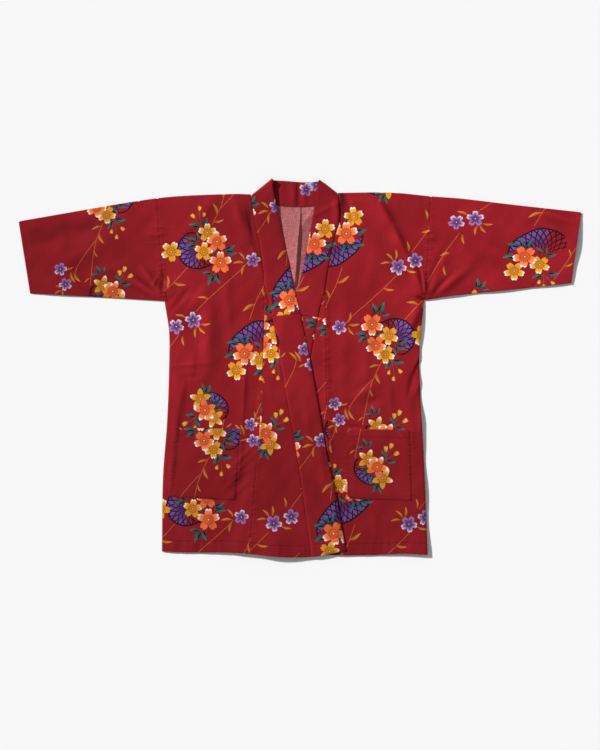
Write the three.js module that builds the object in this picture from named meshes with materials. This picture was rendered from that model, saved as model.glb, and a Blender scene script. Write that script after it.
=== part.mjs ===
// A short yukata laid out flat, front up, its right front lapped over the left one.
// Millimetres, +Z up. The garment lies on z = 0, its collar towards +Y, and the wearer's
// right side is at -X. The origin is the middle of its underside.
//
// It is cut the way such a garment is sewn: two body lengths that run from the front hem over
// the shoulder to the back hem with a seam down the middle of the back, a tapered strip (okumi)
// on each front edge, two straight sleeves folded along the top, a collar band in three
// lengths, and two patch pockets.
import * as THREE from "three";

// ---------------------------------------------------------------- driving dimensions

const CLOTH = 1.1; // wall of one layer of cotton
const BAND = 2.2; // wall of the collar band, cotton folded double
const SEAM = 0.3; // space between pieces that are sewn together
const ARMHOLE = 0.5; // and between body and sleeve, whose seam curves
const NECK_GAP = 1; // and between collar and back, whose seam curves more
const LAYER = 0.75; // space between layers that only lie on each other
const AIR = 1.1; // how much further the front stands off the back away from the outline
const EDGE_FADE = 26; // the front comes down to its sewn outline over this distance
const FOLD_LIMIT = 2.5; // the highest that a fold stands up
const LAP = BAND + LAYER; // how far the upper front is lifted over the lower one
const LAP_RAMP = 30; // and the width over which it climbs
const LAP_START = 1.3; // where the climb starts, in widths before the lower front's free edge
const TURN = (CLOTH + SEAM) / 2; // radius of a folded edge, at the middle of the wall
const ROLL_STEPS = 4;

const NECK_RIGHT = { x: -116, y: 407 }; // where collar, shoulder fold and front meet
const NECK_LEFT = { x: 89, y: 410.5 };
const NECK_BACK = { x: 2, y: 378 }; // the lowest point of the back neckline
const BAND_END = { right: { y: 121, rise: 0.092 }, left: { y: 119, rise: -0.11 } };
const BODY_TIP = { right: 196, left: 184 }; // the body meets the collar above here, the okumi below
const OKUMI_TIP = { right: 183, left: 172 }; // the okumi start below the neck here

// ---------------------------------------------------------------- outlines

// A smooth line through the rows of a short table, read as a function of column `from`.
function line(rows, from = "y", to = "x") {
  const knots = [...rows].sort((a, b) => a[from] - b[from]);
  const last = knots.length - 1;
  const slope = knots.map((_, i) => {
    const a = knots[Math.max(i - 1, 0)];
    const b = knots[Math.min(i + 1, last)];
    return (b[to] - a[to]) / (b[from] - a[from]);
  });
  return (at) => {
    if (at <= knots[0][from]) return knots[0][to] + slope[0] * (at - knots[0][from]);
    if (at >= knots[last][from]) return knots[last][to] + slope[last] * (at - knots[last][from]);
    const i = knots.findIndex((k) => k[from] > at) - 1;
    const step = knots[i + 1][from] - knots[i][from];
    const t = (at - knots[i][from]) / step;
    const bend = (a, b) => t * (1 - t) * ((1 - t) * a - t * b);
    const chord = THREE.MathUtils.lerp(knots[i][to], knots[i + 1][to], t);
    const rise = (knots[i + 1][to] - knots[i][to]) / step;
    return chord + step * bend(slope[i] - rise, slope[i + 1] - rise);
  };
}

// The folded top of sleeve and shoulder, from the cuff to the neck.
const topLine = {
  right: line(
    [
      { x: -661, y: 344.5 },
      { x: -518, y: 369.5 },
      { x: -434, y: 384 },
      { x: -335, y: 399 },
      { x: -264, y: 405 },
      { x: -152, y: 409 },
      { x: NECK_RIGHT.x, y: NECK_RIGHT.y + 1 },
    ],
    "x",
    "y",
  ),
  left: line(
    [
      { x: NECK_LEFT.x, y: NECK_LEFT.y + 1 },
      { x: 215, y: 412 },
      { x: 307, y: 403.5 },
      { x: 384, y: 397.5 },
      { x: 497, y: 384 },
      { x: 661, y: 366 },
    ],
    "x",
    "y",
  ),
};

// Sleeve seam down to the armpit, then the side seam down to the hem.
const outerSeam = {
  right: line([
    { y: 399, x: -335 },
    { y: 323, x: -331 },
    { y: 238, x: -324 },
    { y: 156, x: -318 },
    { y: 90, x: -308 },
    { y: 26, x: -307 },
    { y: -122, x: -312 },
    { y: -258, x: -322 },
    { y: -431, x: -324.5 },
  ]),
  left: line([
    { y: 403, x: 307 },
    { y: 310, x: 304 },
    { y: 220, x: 298 },
    { y: 158, x: 292 },
    { y: 48, x: 281 },
    { y: -65, x: 283 },
    { y: -190, x: 290 },
    { y: -303, x: 295 },
    { y: -437, x: 300 },
  ]),
};

const sleeveBottom = {
  right: line(
    [
      { x: -634, y: 175 },
      { x: -434, y: 164 },
      { x: -318, y: 157 },
    ],
    "x",
    "y",
  ),
  left: line(
    [
      { x: 292, y: 158.5 },
      { x: 356, y: 169 },
      { x: 469, y: 180.5 },
      { x: 637, y: 199 },
    ],
    "x",
    "y",
  ),
};

const cuff = {
  right: line([
    { y: 175, x: -634 },
    { y: 344, x: -661 },
  ]),
  left: line([
    { y: 199, x: 637 },
    { y: 366, x: 661 },
  ]),
};

// The seam between collar and front, from the shoulder to the hem.
const collarSeam = {
  right: line([
    { y: 407, x: -116 },
    { y: 340, x: -106 },
    { y: 286, x: -94 },
    { y: 221, x: -85.5 },
    { y: 196, x: -84.5 },
    { y: 137, x: -68.5 },
    { y: 73, x: -57 },
    { y: -51, x: -35 },
    { y: -176, x: -12 },
    { y: -286, x: 5 },
    { y: -441, x: 26.5 },
  ]),
  left: line([
    { y: 410, x: 89 },
    { y: 384, x: 93.5 },
    { y: 344, x: 92 },
    { y: 284, x: 76 },
    { y: 232, x: 67 },
    { y: 184, x: 59 },
    { y: 135, x: 46.5 },
    { y: 73, x: 34 },
    { y: -51, x: 12 },
    { y: -176, x: -11 },
    { y: -286, x: -28 },
    { y: -441, x: -49.5 },
  ]),
};

// The free edge of the collar, from where it turns behind the neck down to the hem.
const freeEdge = {
  right: line([
    { y: 441, x: -66 },
    { y: 419, x: -63 },
    { y: 365, x: -52 },
    { y: 322, x: -41.5 },
    { y: 259, x: -27 },
    { y: 205, x: -17.5 },
    { y: 121, x: 1.5 },
    { y: 10, x: 25 },
    { y: -105, x: 46.5 },
    { y: -195, x: 61.5 },
    { y: -309, x: 87 },
    { y: -430, x: 107.5 },
  ]),
  left: line([
    { y: 438, x: 45 },
    { y: 416, x: 39.5 },
    { y: 358, x: 30.5 },
    { y: 317, x: 22.5 },
    { y: 236, x: 7.5 },
    { y: 184, x: -6 },
    { y: 123, x: -20.5 },
    { y: 10, x: -47.5 },
    { y: -105, x: -69.5 },
    { y: -195, x: -84.5 },
    { y: -309, x: -110 },
    { y: -430, x: -130 },
  ]),
};

// The seam between body and okumi.
const okumiSeam = {
  right: line([
    { y: 196, x: -84.5 },
    { y: 123, x: -84 },
    { y: -9, x: -88 },
    { y: -131, x: -94.5 },
    { y: -248, x: -103.5 },
    { y: -441, x: -119 },
  ]),
  left: line([
    { y: 184, x: 59 },
    { y: 99, x: 61 },
    { y: -63, x: 63 },
    { y: -152, x: 67 },
    { y: -227, x: 72 },
    { y: -441, x: 90.5 },
  ]),
};

const backSeam = line([
  { y: NECK_BACK.y, x: NECK_BACK.x },
  { y: 186, x: -8 },
  { y: -440, x: -12 },
]);

const hem = {
  right: line(
    [
      { x: -324, y: -431 },
      { x: -264, y: -433.5 },
      { x: -180, y: -433.5 },
      { x: -123, y: -436 },
      { x: -67, y: -442.5 },
      { x: -10, y: -445 },
      { x: 46, y: -441.5 },
      { x: 107, y: -428.5 },
    ],
    "x",
    "y",
  ),
  left: line(
    [
      { x: -130, y: -427 },
      { x: -60, y: -435 },
      { x: 30, y: -438.5 },
      { x: 102, y: -440 },
      { x: 187, y: -439 },
      { x: 243, y: -436.5 },
      { x: 300, y: -439 },
    ],
    "x",
    "y",
  ),
  back: line(
    [
      { x: -324, y: -428 },
      { x: -180, y: -430 },
      { x: -12, y: -439 },
      { x: 187, y: -436 },
      { x: 300, y: -435 },
    ],
    "x",
    "y",
  ),
};

const COLLAR_TOP = line(
  [
    { x: -62, y: 441 },
    { x: -30, y: 439 },
    { x: 2, y: 436.5 },
    { x: 24, y: 436.5 },
    { x: 43, y: 438.5 },
  ],
  "x",
  "y",
);

// Pocket corners, from the mouth down.
const POCKET = {
  right: {
    mouth: [
      { x: -286, y: -140 },
      { x: -141, y: -143 },
    ],
    foot: [
      { x: -304, y: -303 },
      { x: -151, y: -311.5 },
    ],
  },
  left: {
    mouth: [
      { x: 110, y: -142 },
      { x: 257, y: -146.5 },
    ],
    foot: [
      { x: 111.5, y: -307 },
      { x: 263, y: -313 },
    ],
  },
};

// ---------------------------------------------------------------- how the cloth lies

// Soft folds of the front layer: a ridge from (x0, y0) to (x1, y1), its height and half width.
const FOLDS = [
  // right front
  { x0: -297, y0: -20, x1: -302, y1: -300, height: 1.6, width: 14 },
  { x0: -201, y0: 95, x1: -240, y1: -60, height: 2.2, width: 22 },
  { x0: -133, y0: 10, x1: -136, y1: -140, height: 1.2, width: 15 },
  { x0: -142, y0: 396, x1: -124, y1: 290, height: 2.2, width: 15 },
  { x0: -262, y0: 386, x1: -177, y1: 275, height: 1.8, width: 26 },
  { x0: -318, y0: 165, x1: -236, y1: 252, height: 2.4, width: 17 },
  { x0: -316, y0: 158, x1: -205, y1: 158, height: 1.9, width: 15 },
  { x0: -314, y0: 150, x1: -262, y1: 50, height: 1.8, width: 16 },
  { x0: -154, y0: -250, x1: -112, y1: -188, height: 1.6, width: 14 },
  { x0: -62, y0: -380, x1: -58, y1: -450, height: 2.4, width: 24 },
  { x0: -176, y0: -370, x1: -168, y1: -440, height: 1.4, width: 20 },
  { x0: -10, y0: -200, x1: 4, y1: -330, height: 1.0, width: 15 },
  // left front
  { x0: 106, y0: 392, x1: 200, y1: 248, height: 2.4, width: 20 },
  { x0: 140, y0: 408, x1: 254, y1: 300, height: 2.0, width: 19 },
  { x0: 291, y0: 162, x1: 268, y1: 252, height: 2.5, width: 14 },
  { x0: 290, y0: 158, x1: 222, y1: 186, height: 2.0, width: 14 },
  { x0: 288, y0: 150, x1: 236, y1: 60, height: 1.9, width: 16 },
  { x0: 284, y0: 32, x1: 252, y1: 6, height: 1.8, width: 13 },
  { x0: 252, y0: -20, x1: 264, y1: -300, height: 1.4, width: 15 },
  { x0: 106, y0: 170, x1: 99, y1: -120, height: 1.3, width: 14 },
  { x0: 232, y0: -350, x1: 236, y1: -440, height: 1.6, width: 22 },
  // right sleeve
  { x0: -322, y0: 166, x1: -396, y1: 218, height: 2.2, width: 16 },
  { x0: -330, y0: 320, x1: -372, y1: 306, height: 1.4, width: 14 },
  { x0: -430, y0: 300, x1: -560, y1: 262, height: 1.2, width: 26 },
  // left sleeve
  { x0: 300, y0: 168, x1: 318, y1: 256, height: 2.5, width: 13 },
  { x0: 304, y0: 168, x1: 404, y1: 256, height: 2.5, width: 17 },
  { x0: 300, y0: 314, x1: 334, y1: 304, height: 1.6, width: 14 },
  { x0: 574, y0: 358, x1: 636, y1: 336, height: 1.5, width: 16 },
  { x0: 440, y0: 330, x1: 560, y1: 290, height: 1.2, width: 26 },
];

// Stretches of the outline that don't lie down: both layers lift off the floor round a point.
const CURLS = [
  { x: -62, y: -452, reach: 95, lift: 4.5 },
  { x: -168, y: -446, reach: 80, lift: 2 },
  { x: 312, y: -446, reach: 120, lift: 4.5 },
  { x: 310, y: -290, reach: 95, lift: 3.5 },
  { x: 300, y: -150, reach: 90, lift: 3.5 },
  { x: 294, y: 90, reach: 80, lift: 3.5 },
  { x: 360, y: 160, reach: 75, lift: 2.5 },
  { x: 480, y: 172, reach: 85, lift: 2.5 },
  { x: 600, y: 186, reach: 80, lift: 2.5 },
  { x: 668, y: 286, reach: 75, lift: 4 },
  { x: -560, y: 160, reach: 80, lift: 1.5 },
];

const smooth = (t) => THREE.MathUtils.smoothstep(t, 0, 1);

// The sewn or folded outline, where front and back are joined, as points a short step apart.
const STEP = 14;
function run(edge, from, to, across) {
  const count = Math.ceil(Math.abs(to - from) / STEP);
  return Array.from({ length: count + 1 }, (_, i) => {
    const at = THREE.MathUtils.lerp(from, to, i / count);
    return across ? new THREE.Vector2(at, edge(at)) : new THREE.Vector2(edge(at), at);
  });
}
const OUTLINE = [
  run(topLine.right, -661, NECK_RIGHT.x, true),
  run(topLine.left, NECK_LEFT.x, 661, true),
  run(sleeveBottom.right, -634, -318, true),
  run(sleeveBottom.left, 292, 637, true),
  run(outerSeam.right, 156, -431, false),
  run(outerSeam.left, 158, -437, false),
];

function toSegment(x, y, a, b) {
  const across = b.x - a.x;
  const up = b.y - a.y;
  const share = ((x - a.x) * across + (y - a.y) * up) / (across ** 2 + up ** 2);
  const t = THREE.MathUtils.clamp(share, 0, 1);
  return { t, distance: Math.hypot(x - a.x - t * across, y - a.y - t * up) };
}

function toOutline(x, y) {
  let nearest = Infinity;
  for (const points of OUTLINE)
    for (let i = 1; i < points.length; i++)
      nearest = Math.min(nearest, toSegment(x, y, points[i - 1], points[i]).distance);
  return nearest;
}

// A fold is full height a quarter of the way along and runs out to FOLD_TAIL of it.
const FOLD_TAIL = 0.45;
const FOLD_START = 0.25;

function foldHeight(x, y) {
  let sum = 0;
  for (const f of FOLDS) {
    const { t, distance } = toSegment(x, y, { x: f.x0, y: f.y0 }, { x: f.x1, y: f.y1 });
    const swell = Math.sin(Math.PI * Math.min(t + FOLD_START, 1));
    const along = FOLD_TAIL + (1 - FOLD_TAIL) * swell;
    sum += f.height * along * Math.exp(-((distance / f.width) ** 2));
  }
  return FOLD_LIMIT * Math.tanh(sum / FOLD_LIMIT);
}

function curl(x, y) {
  return CURLS.reduce((sum, c) => {
    const near = 1 - ((x - c.x) ** 2 + (y - c.y) ** 2) / c.reach ** 2;
    return near > 0 ? sum + c.lift * near * near : sum;
  }, 0);
}

// Mid-wall heights of the layers.
const backHeight = (x, y) => CLOTH / 2 + curl(x, y);
const lowerHeight = (x, y) =>
  backHeight(x, y) + CLOTH + SEAM + smooth(toOutline(x, y) / EDGE_FADE) * (AIR + foldHeight(x, y));
const upperHeight = (x, y) =>
  lowerHeight(x, y) + LAP * smooth((x - freeEdge.left(y)) / LAP_RAMP + LAP_START);
const frontHeight = { right: upperHeight, left: lowerHeight };

// ---------------------------------------------------------------- solids

// A wall from two grids of points, its outer and its inner face. With `ring` the rows close up.
function wall(outer, inner, ring = false) {
  const rows = outer.length;
  const columns = outer[0].length;
  const positions = [...outer.flat(), ...inner.flat()].flat();
  const at = (face, i, j) => (face * rows + (i % rows)) * columns + j;
  const index = [];
  const quad = (a, b, c, d) => index.push(a, b, c, a, c, d);
  const turns = ring ? rows : rows - 1;
  for (let i = 0; i < turns; i++) {
    for (let j = 0; j < columns - 1; j++) {
      quad(at(0, i, j), at(0, i, j + 1), at(0, i + 1, j + 1), at(0, i + 1, j));
      quad(at(1, i, j), at(1, i + 1, j), at(1, i + 1, j + 1), at(1, i, j + 1));
    }
    quad(at(0, i, 0), at(0, i + 1, 0), at(1, i + 1, 0), at(1, i, 0));
    const end = columns - 1;
    quad(at(0, i, end), at(1, i, end), at(1, i + 1, end), at(0, i + 1, end));
  }
  if (!ring)
    for (let j = 0; j < columns - 1; j++) {
      const end = rows - 1;
      quad(at(0, 0, j), at(1, 0, j), at(1, 0, j + 1), at(0, 0, j + 1));
      quad(at(0, end, j), at(0, end, j + 1), at(1, end, j + 1), at(1, end, j));
    }
  const geometry = new THREE.BufferGeometry();
  geometry.setAttribute("position", new THREE.Float32BufferAttribute(positions, 3));
  geometry.setIndex(signedVolume(positions, index) < 0 ? index.reverse() : index);
  geometry.computeVertexNormals();
  return geometry;
}

function signedVolume(positions, index) {
  const corner = (i) => new THREE.Vector3().fromArray(positions, 3 * index[i]);
  let sum = 0;
  for (let i = 0; i < index.length; i += 3)
    sum += corner(i).dot(corner(i + 1).cross(corner(i + 2))) / 6;
  return sum;
}

// A point on each face of a layer that lies flat, `thick` from face to face.
const layerPoint = (x, y, z, thick) => ({ outer: [x, y, z + thick / 2], inner: [x, y, z - thick / 2] });

// Turns grids of { outer, inner } points into a wall.
const wallOf = (grid, ring) =>
  wall(
    grid.map((row) => row.map((p) => p.outer)),
    grid.map((row) => row.map((p) => p.inner)),
    ring,
  );

const steps = (count) => Array.from({ length: count + 1 }, (_, i) => i / count);

// The plan point that is `s` of the way across between two edges and `t` of the way up. Each
// edge depends on the other coordinate, so the point is settled in a few rounds.
const ROUNDS = 6;

function planPoint(s, t, inner, outer, low, high) {
  let x = 0;
  let y = 0;
  for (let turn = 0; turn < ROUNDS; turn++) {
    y = THREE.MathUtils.lerp(low(x), high(x), t);
    x = THREE.MathUtils.lerp(inner(y), outer(y), s);
  }
  return { x, y };
}

// The points round a folded edge at a plan point, from the front face over to the back face.
function turnPoints(x, y, out) {
  const middle = backHeight(x, y) + TURN;
  return steps(ROLL_STEPS + 1)
    .slice(1, -1)
    .map((t) => {
      const angle = Math.PI * t;
      const at = (radius) => [
        x + out.x * radius * Math.sin(angle),
        y + out.y * radius * Math.sin(angle),
        middle + radius * Math.cos(angle),
      ];
      return { outer: at(TURN + CLOTH / 2), inner: at(TURN - CLOTH / 2) };
    });
}

const flipped = ({ outer, inner }) => ({ outer: inner, inner: outer });
const UP = { x: 0, y: 1 };
const DOWN = { x: 0, y: -1 };

// One length of cloth from the front hem over the shoulder to the back hem.
const BODY_COLUMNS = 14;
const FRONT_ROWS = 34;
const BACK_ROWS = 9;
const NECK_ROWS = 5;
const NECK_SEAM = 2 * SEAM; // space round the curved back neck

function bodyGeometry(side) {
  const sign = side === "right" ? -1 : 1;
  const neck = side === "right" ? NECK_RIGHT : NECK_LEFT;
  const tip = BODY_TIP[side];
  const outer = (y) => outerSeam[side](y) - (sign * ARMHOLE) / 2;
  const inner = (y) =>
    (y > tip ? collarSeam[side](y) : okumiSeam[side](y)) + (sign * SEAM) / 2;
  const fold = (x) =>
    topLine[side](sign * x < sign * neck.x ? neck.x : x) - TURN - CLOTH / 2;
  const drop = neck.y - NECK_BACK.y + NECK_GAP;
  const backInner = (y) => {
    const depth = THREE.MathUtils.clamp((neck.y - y) / drop, 0, 1);
    if (depth >= 1) return backSeam(y) + (sign * SEAM) / 2;
    return NECK_BACK.x + (neck.x - NECK_BACK.x) * Math.sqrt(1 - depth ** 2) + sign * NECK_SEAM;
  };
  const columns = steps(BODY_COLUMNS);
  const front = steps(FRONT_ROWS).map((t) =>
    columns.map((s) => {
      const { x, y } = planPoint(s, t, inner, outer, hem[side], fold);
      return layerPoint(x, y, frontHeight[side](x, y), CLOTH);
    }),
  );
  const overShoulder = columns.map((s) => {
    const { x, y } = planPoint(s, 1, inner, outer, hem[side], fold);
    return turnPoints(x, y, UP);
  });
  const turn = overShoulder[0].map((_, k) => overShoulder.map((points) => points[k]));
  const length = neck.y - hem.back(neck.x);
  const neckShares = steps(NECK_ROWS).map((t) => (drop * Math.sin((Math.PI / 2) * t)) / length);
  const restShares = steps(BACK_ROWS).map((t) => THREE.MathUtils.lerp(drop / length, 1, t));
  const back = [...neckShares, ...restShares.slice(1)].map((share) =>
    columns.map((s) => {
      const { x, y } = planPoint(s, 1 - share, backInner, outer, hem.back, fold);
      return flipped(layerPoint(x, y, backHeight(x, y), CLOTH));
    }),
  );
  return wallOf([...front, ...turn, ...back]);
}

// A flattened tube: rings of front face, bottom seam, back face and top fold, out to the cuff.
const SLEEVE_RINGS = 16;
const SLEEVE_FRONT = 12;
const SLEEVE_BACK = 9;

function sleeveGeometry(side) {
  const sign = side === "right" ? -1 : 1;
  const armhole = (y) => outerSeam[side](y) + (sign * ARMHOLE) / 2;
  const low = (x) => sleeveBottom[side](x) + TURN + CLOTH / 2;
  const high = (x) => topLine[side](x) - TURN - CLOTH / 2;
  const rings = steps(SLEEVE_RINGS).map((s) => {
    const place = (t) => planPoint(s, t, armhole, cuff[side], low, high);
    const front = steps(SLEEVE_FRONT).map((t) => {
      const { x, y } = place(1 - t);
      return layerPoint(x, y, lowerHeight(x, y), CLOTH);
    });
    const back = steps(SLEEVE_BACK).map((t) => {
      const { x, y } = place(t);
      return flipped(layerPoint(x, y, backHeight(x, y), CLOTH));
    });
    const bottom = place(0);
    const top = place(1);
    return [
      ...front,
      ...turnPoints(bottom.x, bottom.y, DOWN),
      ...back,
      ...turnPoints(top.x, top.y, UP).reverse(),
    ];
  });
  return wallOf(
    rings[0].map((_, i) => rings.map((ring) => ring[i])),
    true,
  );
}

// The tapered strip between body and collar.
const OKUMI_ROWS = 28;
const OKUMI_COLUMNS = 5;

function okumiGeometry(side) {
  const sign = side === "right" ? -1 : 1;
  const outer = (y) => okumiSeam[side](y) - (sign * SEAM) / 2;
  const inner = (y) => collarSeam[side](y) + (sign * SEAM) / 2;
  const tip = () => OKUMI_TIP[side];
  return wallOf(
    steps(OKUMI_ROWS).map((t) =>
      steps(OKUMI_COLUMNS).map((s) => {
        const { x, y } = planPoint(s, t, inner, outer, hem[side], tip);
        return layerPoint(x, y, frontHeight[side](x, y), CLOTH);
      }),
    ),
  );
}

const bandMiddle = (side, x, y) => frontHeight[side](x, y) + (BAND - CLOTH) / 2;
const bandEnd = (side) => (x) => {
  const end = BAND_END[side];
  return end.y + end.rise * (x - collarSeam[side](end.y));
};

// The lower length of the collar, from the hem to the end of the neck length.
const BAND_ROWS = 24;
const BAND_COLUMNS = 4;

function lowerCollarGeometry(side) {
  const sign = side === "right" ? -1 : 1;
  const outer = (y) => collarSeam[side](y) - (sign * SEAM) / 2;
  const end = (x) => bandEnd(side)(x) - SEAM / 2;
  return wallOf(
    steps(BAND_ROWS).map((t) =>
      steps(BAND_COLUMNS).map((s) => {
        const { x, y } = planPoint(s, t, freeEdge[side], outer, hem[side], end);
        return layerPoint(x, y, bandMiddle(side, x, y), BAND);
      }),
    ),
  );
}

// The neck length of the collar: up one front, round behind the neck, down the other front.
// At each side of the neck it turns over along a slanting fold from `seam` to `edge`, where it
// stands off the floor by `seamTop` and `edgeTop`.
const NECK_FOLD = {
  right: { seam: { x: -112.5, y: 404.5 }, edge: { x: -61.5, y: 440.5 }, seamTop: 4.6, edgeTop: 13 },
  left: { seam: { x: 86.5, y: 408 }, edge: { x: 43, y: 438.5 }, seamTop: 5.2, edgeTop: 10 },
};
const NECK_COLUMNS = 5;
const NECK_FRONT_ROWS = 13;
const NECK_STAND = 0.55; // the share of the front length over which the collar comes up
const SEAM_OPENS = 2; // the seam widens by so many seams towards the slanting fold

function neckFront(side) {
  const sign = side === "right" ? -1 : 1;
  const fold = NECK_FOLD[side];
  const low = (x) => bandEnd(side)(x) + SEAM / 2;
  return steps(NECK_FRONT_ROWS).map((t) =>
    steps(NECK_COLUMNS).map((s) => {
      const high = () => THREE.MathUtils.lerp(fold.seam.y, fold.edge.y, s);
      const seam = (y) =>
        t === 1 ? fold.seam.x : collarSeam[side](y) - sign * SEAM * (1 + SEAM_OPENS * t ** 4);
      const edge = (y) => (t === 1 ? fold.edge.x : freeEdge[side](y));
      const { x, y } = planPoint(s, t, seam, edge, low, high);
      const up = smooth((t - 1) / NECK_STAND + 1);
      const top = THREE.MathUtils.lerp(fold.seamTop, fold.edgeTop, s);
      const z = THREE.MathUtils.lerp(bandMiddle(side, x, y), top, up);
      return layerPoint(x, y, z, BAND);
    }),
  );
}

function neckTurn(side) {
  const { seam, edge, seamTop, edgeTop } = NECK_FOLD[side];
  const along = new THREE.Vector2(edge.x - seam.x, edge.y - seam.y).normalize();
  const out = new THREE.Vector2(-along.y, along.x);
  if (out.y < 0) out.negate();
  const columns = steps(NECK_COLUMNS).map((s) => {
    const x = THREE.MathUtils.lerp(seam.x, edge.x, s);
    const y = THREE.MathUtils.lerp(seam.y, edge.y, s);
    const radius = (THREE.MathUtils.lerp(seamTop, edgeTop, s) - BAND / 2) / 2;
    return steps(ROLL_STEPS + 2)
      .slice(1, -1)
      .map((t) => {
        const at = (r) => [
          x + out.x * r * Math.sin(Math.PI * t),
          y + out.y * r * Math.sin(Math.PI * t),
          BAND / 2 + radius + r * Math.cos(Math.PI * t),
        ];
        return { outer: at(radius + BAND / 2), inner: at(radius - BAND / 2) };
      });
  });
  return columns[0].map((_, k) => columns.map((points) => points[k]));
}

function neckBack() {
  const { right, left } = NECK_FOLD;
  return steps(2 * NECK_ROWS).map((t) => {
    const neck = t < 0.5 ? right.seam : left.seam;
    const seamX = NECK_BACK.x + (neck.x - NECK_BACK.x) * Math.abs(Math.cos(Math.PI * t));
    const seamY = neck.y - (neck.y - NECK_BACK.y) * Math.sin(Math.PI * t);
    const share = (seamX - right.seam.x) / (left.seam.x - right.seam.x);
    const edgeX = THREE.MathUtils.lerp(right.edge.x, left.edge.x, share);
    const edgeY = t === 0 ? right.edge.y : t === 1 ? left.edge.y : COLLAR_TOP(edgeX);
    return steps(NECK_COLUMNS).map((s) =>
      flipped(
        layerPoint(
          THREE.MathUtils.lerp(seamX, edgeX, s),
          THREE.MathUtils.lerp(seamY, edgeY, s),
          BAND / 2,
          BAND,
        ),
      ),
    );
  });
}

function neckCollarGeometry() {
  return wallOf([
    ...neckFront("right"),
    ...neckTurn("right"),
    ...neckBack(),
    ...neckTurn("left").reverse(),
    ...neckFront("left").reverse(),
  ]);
}

// A patch on the front, made from the front's own heights moved out. Its mouth stands open a little.
const POCKET_STAND = CLOTH + 0.65;
const MOUTH_OPEN = 1.6;
const MOUTH_DEPTH = 0.35; // share of the pocket's height that opens with the mouth
const POCKET_STEPS = 7;

function pocketGeometry(side) {
  const { mouth, foot } = POCKET[side];
  return wallOf(
    steps(POCKET_STEPS).map((t) =>
      steps(POCKET_STEPS).map((s) => {
        const top = THREE.MathUtils.lerp(mouth[0].y, mouth[1].y, s);
        const low = THREE.MathUtils.lerp(foot[0].y, foot[1].y, s);
        const x = THREE.MathUtils.lerp(
          THREE.MathUtils.lerp(mouth[0].x, mouth[1].x, s),
          THREE.MathUtils.lerp(foot[0].x, foot[1].x, s),
          t,
        );
        const y = THREE.MathUtils.lerp(top, low, t);
        const open = MOUTH_OPEN * Math.sin(Math.PI * s) * smooth(1 - t / MOUTH_DEPTH);
        return layerPoint(x, y, frontHeight[side](x, y) + POCKET_STAND + open, CLOTH);
      }),
    ),
  );
}

// ---------------------------------------------------------------- the garment

const printedCotton = () =>
  new THREE.MeshStandardMaterial({ color: 0x97222b, roughness: 0.85, metalness: 0 });

const yukata = new THREE.Group();

function add(name, geometry) {
  const mesh = new THREE.Mesh(geometry, printedCotton());
  mesh.name = name;
  yukata.add(mesh);
}

for (const side of ["right", "left"]) {
  add(`body_${side}`, bodyGeometry(side));
  add(`sleeve_${side}`, sleeveGeometry(side));
  add(`okumi_${side}`, okumiGeometry(side));
  add(`collar_lower_${side}`, lowerCollarGeometry(side));
  add(`pocket_${side}`, pocketGeometry(side));
}
add("collar_neck", neckCollarGeometry());

export default yukata;
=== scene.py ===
# A short yukata of printed cotton, laid out flat with its front up and its right front lapped
# over the left one. Plan sizes are in millimetres until a piece's mesh is made in metres.
import math

import bpy
import numpy as np
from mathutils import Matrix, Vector, geometry


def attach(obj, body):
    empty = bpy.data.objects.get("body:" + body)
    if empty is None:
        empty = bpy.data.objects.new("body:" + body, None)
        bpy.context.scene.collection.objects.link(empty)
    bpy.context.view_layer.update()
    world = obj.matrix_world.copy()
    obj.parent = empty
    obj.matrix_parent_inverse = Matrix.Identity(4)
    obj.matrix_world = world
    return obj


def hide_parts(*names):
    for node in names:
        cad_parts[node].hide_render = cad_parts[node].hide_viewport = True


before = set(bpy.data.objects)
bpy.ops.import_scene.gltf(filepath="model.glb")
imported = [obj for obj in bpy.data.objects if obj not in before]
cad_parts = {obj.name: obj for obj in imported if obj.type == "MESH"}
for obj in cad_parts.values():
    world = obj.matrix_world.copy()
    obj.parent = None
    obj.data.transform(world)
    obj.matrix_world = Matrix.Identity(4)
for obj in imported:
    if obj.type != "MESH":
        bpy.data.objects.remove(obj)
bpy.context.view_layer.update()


# ------------------------------------------------------------------ the two body lengths
# Each is one length of narrow cotton that runs from the front hem over the shoulder to the
# back hem. They are sewn to each other down the middle of the back and closed at the sides,
# and the hem is turned up and stitched.

CLOTH = 1.1  # one layer of the frame's wall
SEAM = 0.3  # space between layers that are sewn together
STITCHED = 0.1  # and between the edges of two pieces sewn side by side
NECK_GAP = 1.0  # between the back neckline and the band
AIR = 1.1  # how much further the front stands off the back away from the outline
EDGE_FADE = 26.0  # how far in from the outline the two layers come together
FOLD_LIMIT = 2.5  # no soft fold stands higher
BAND = 2.2  # wall of the collar band
LAP = BAND + 0.75  # how far the upper front is lifted over the lower one
LAP_RAMP = 30.0  # over how wide a strip it comes down again
ROLL = (CLOTH + SEAM) / 2 + CLOTH / 2  # outer radius of a folded edge
SHELL = 0.6  # thickness of the cotton itself
GRAIN = 5.0  # spacing of the mesh on a piece of cloth
EDGE_STEP = 3.3  # and of the points along its edge

# Where the seams of the band, the body and the okumi meet, and the way out from the middle.
NECK = {"right": (-116.0, 407.0), "left": (89.0, 410.5)}
NECK_BACK = (2.0, 378.0)
OKUMI_TOP = {"right": 196.0, "left": 184.0}
SIGN = {"right": -1, "left": 1}


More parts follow.
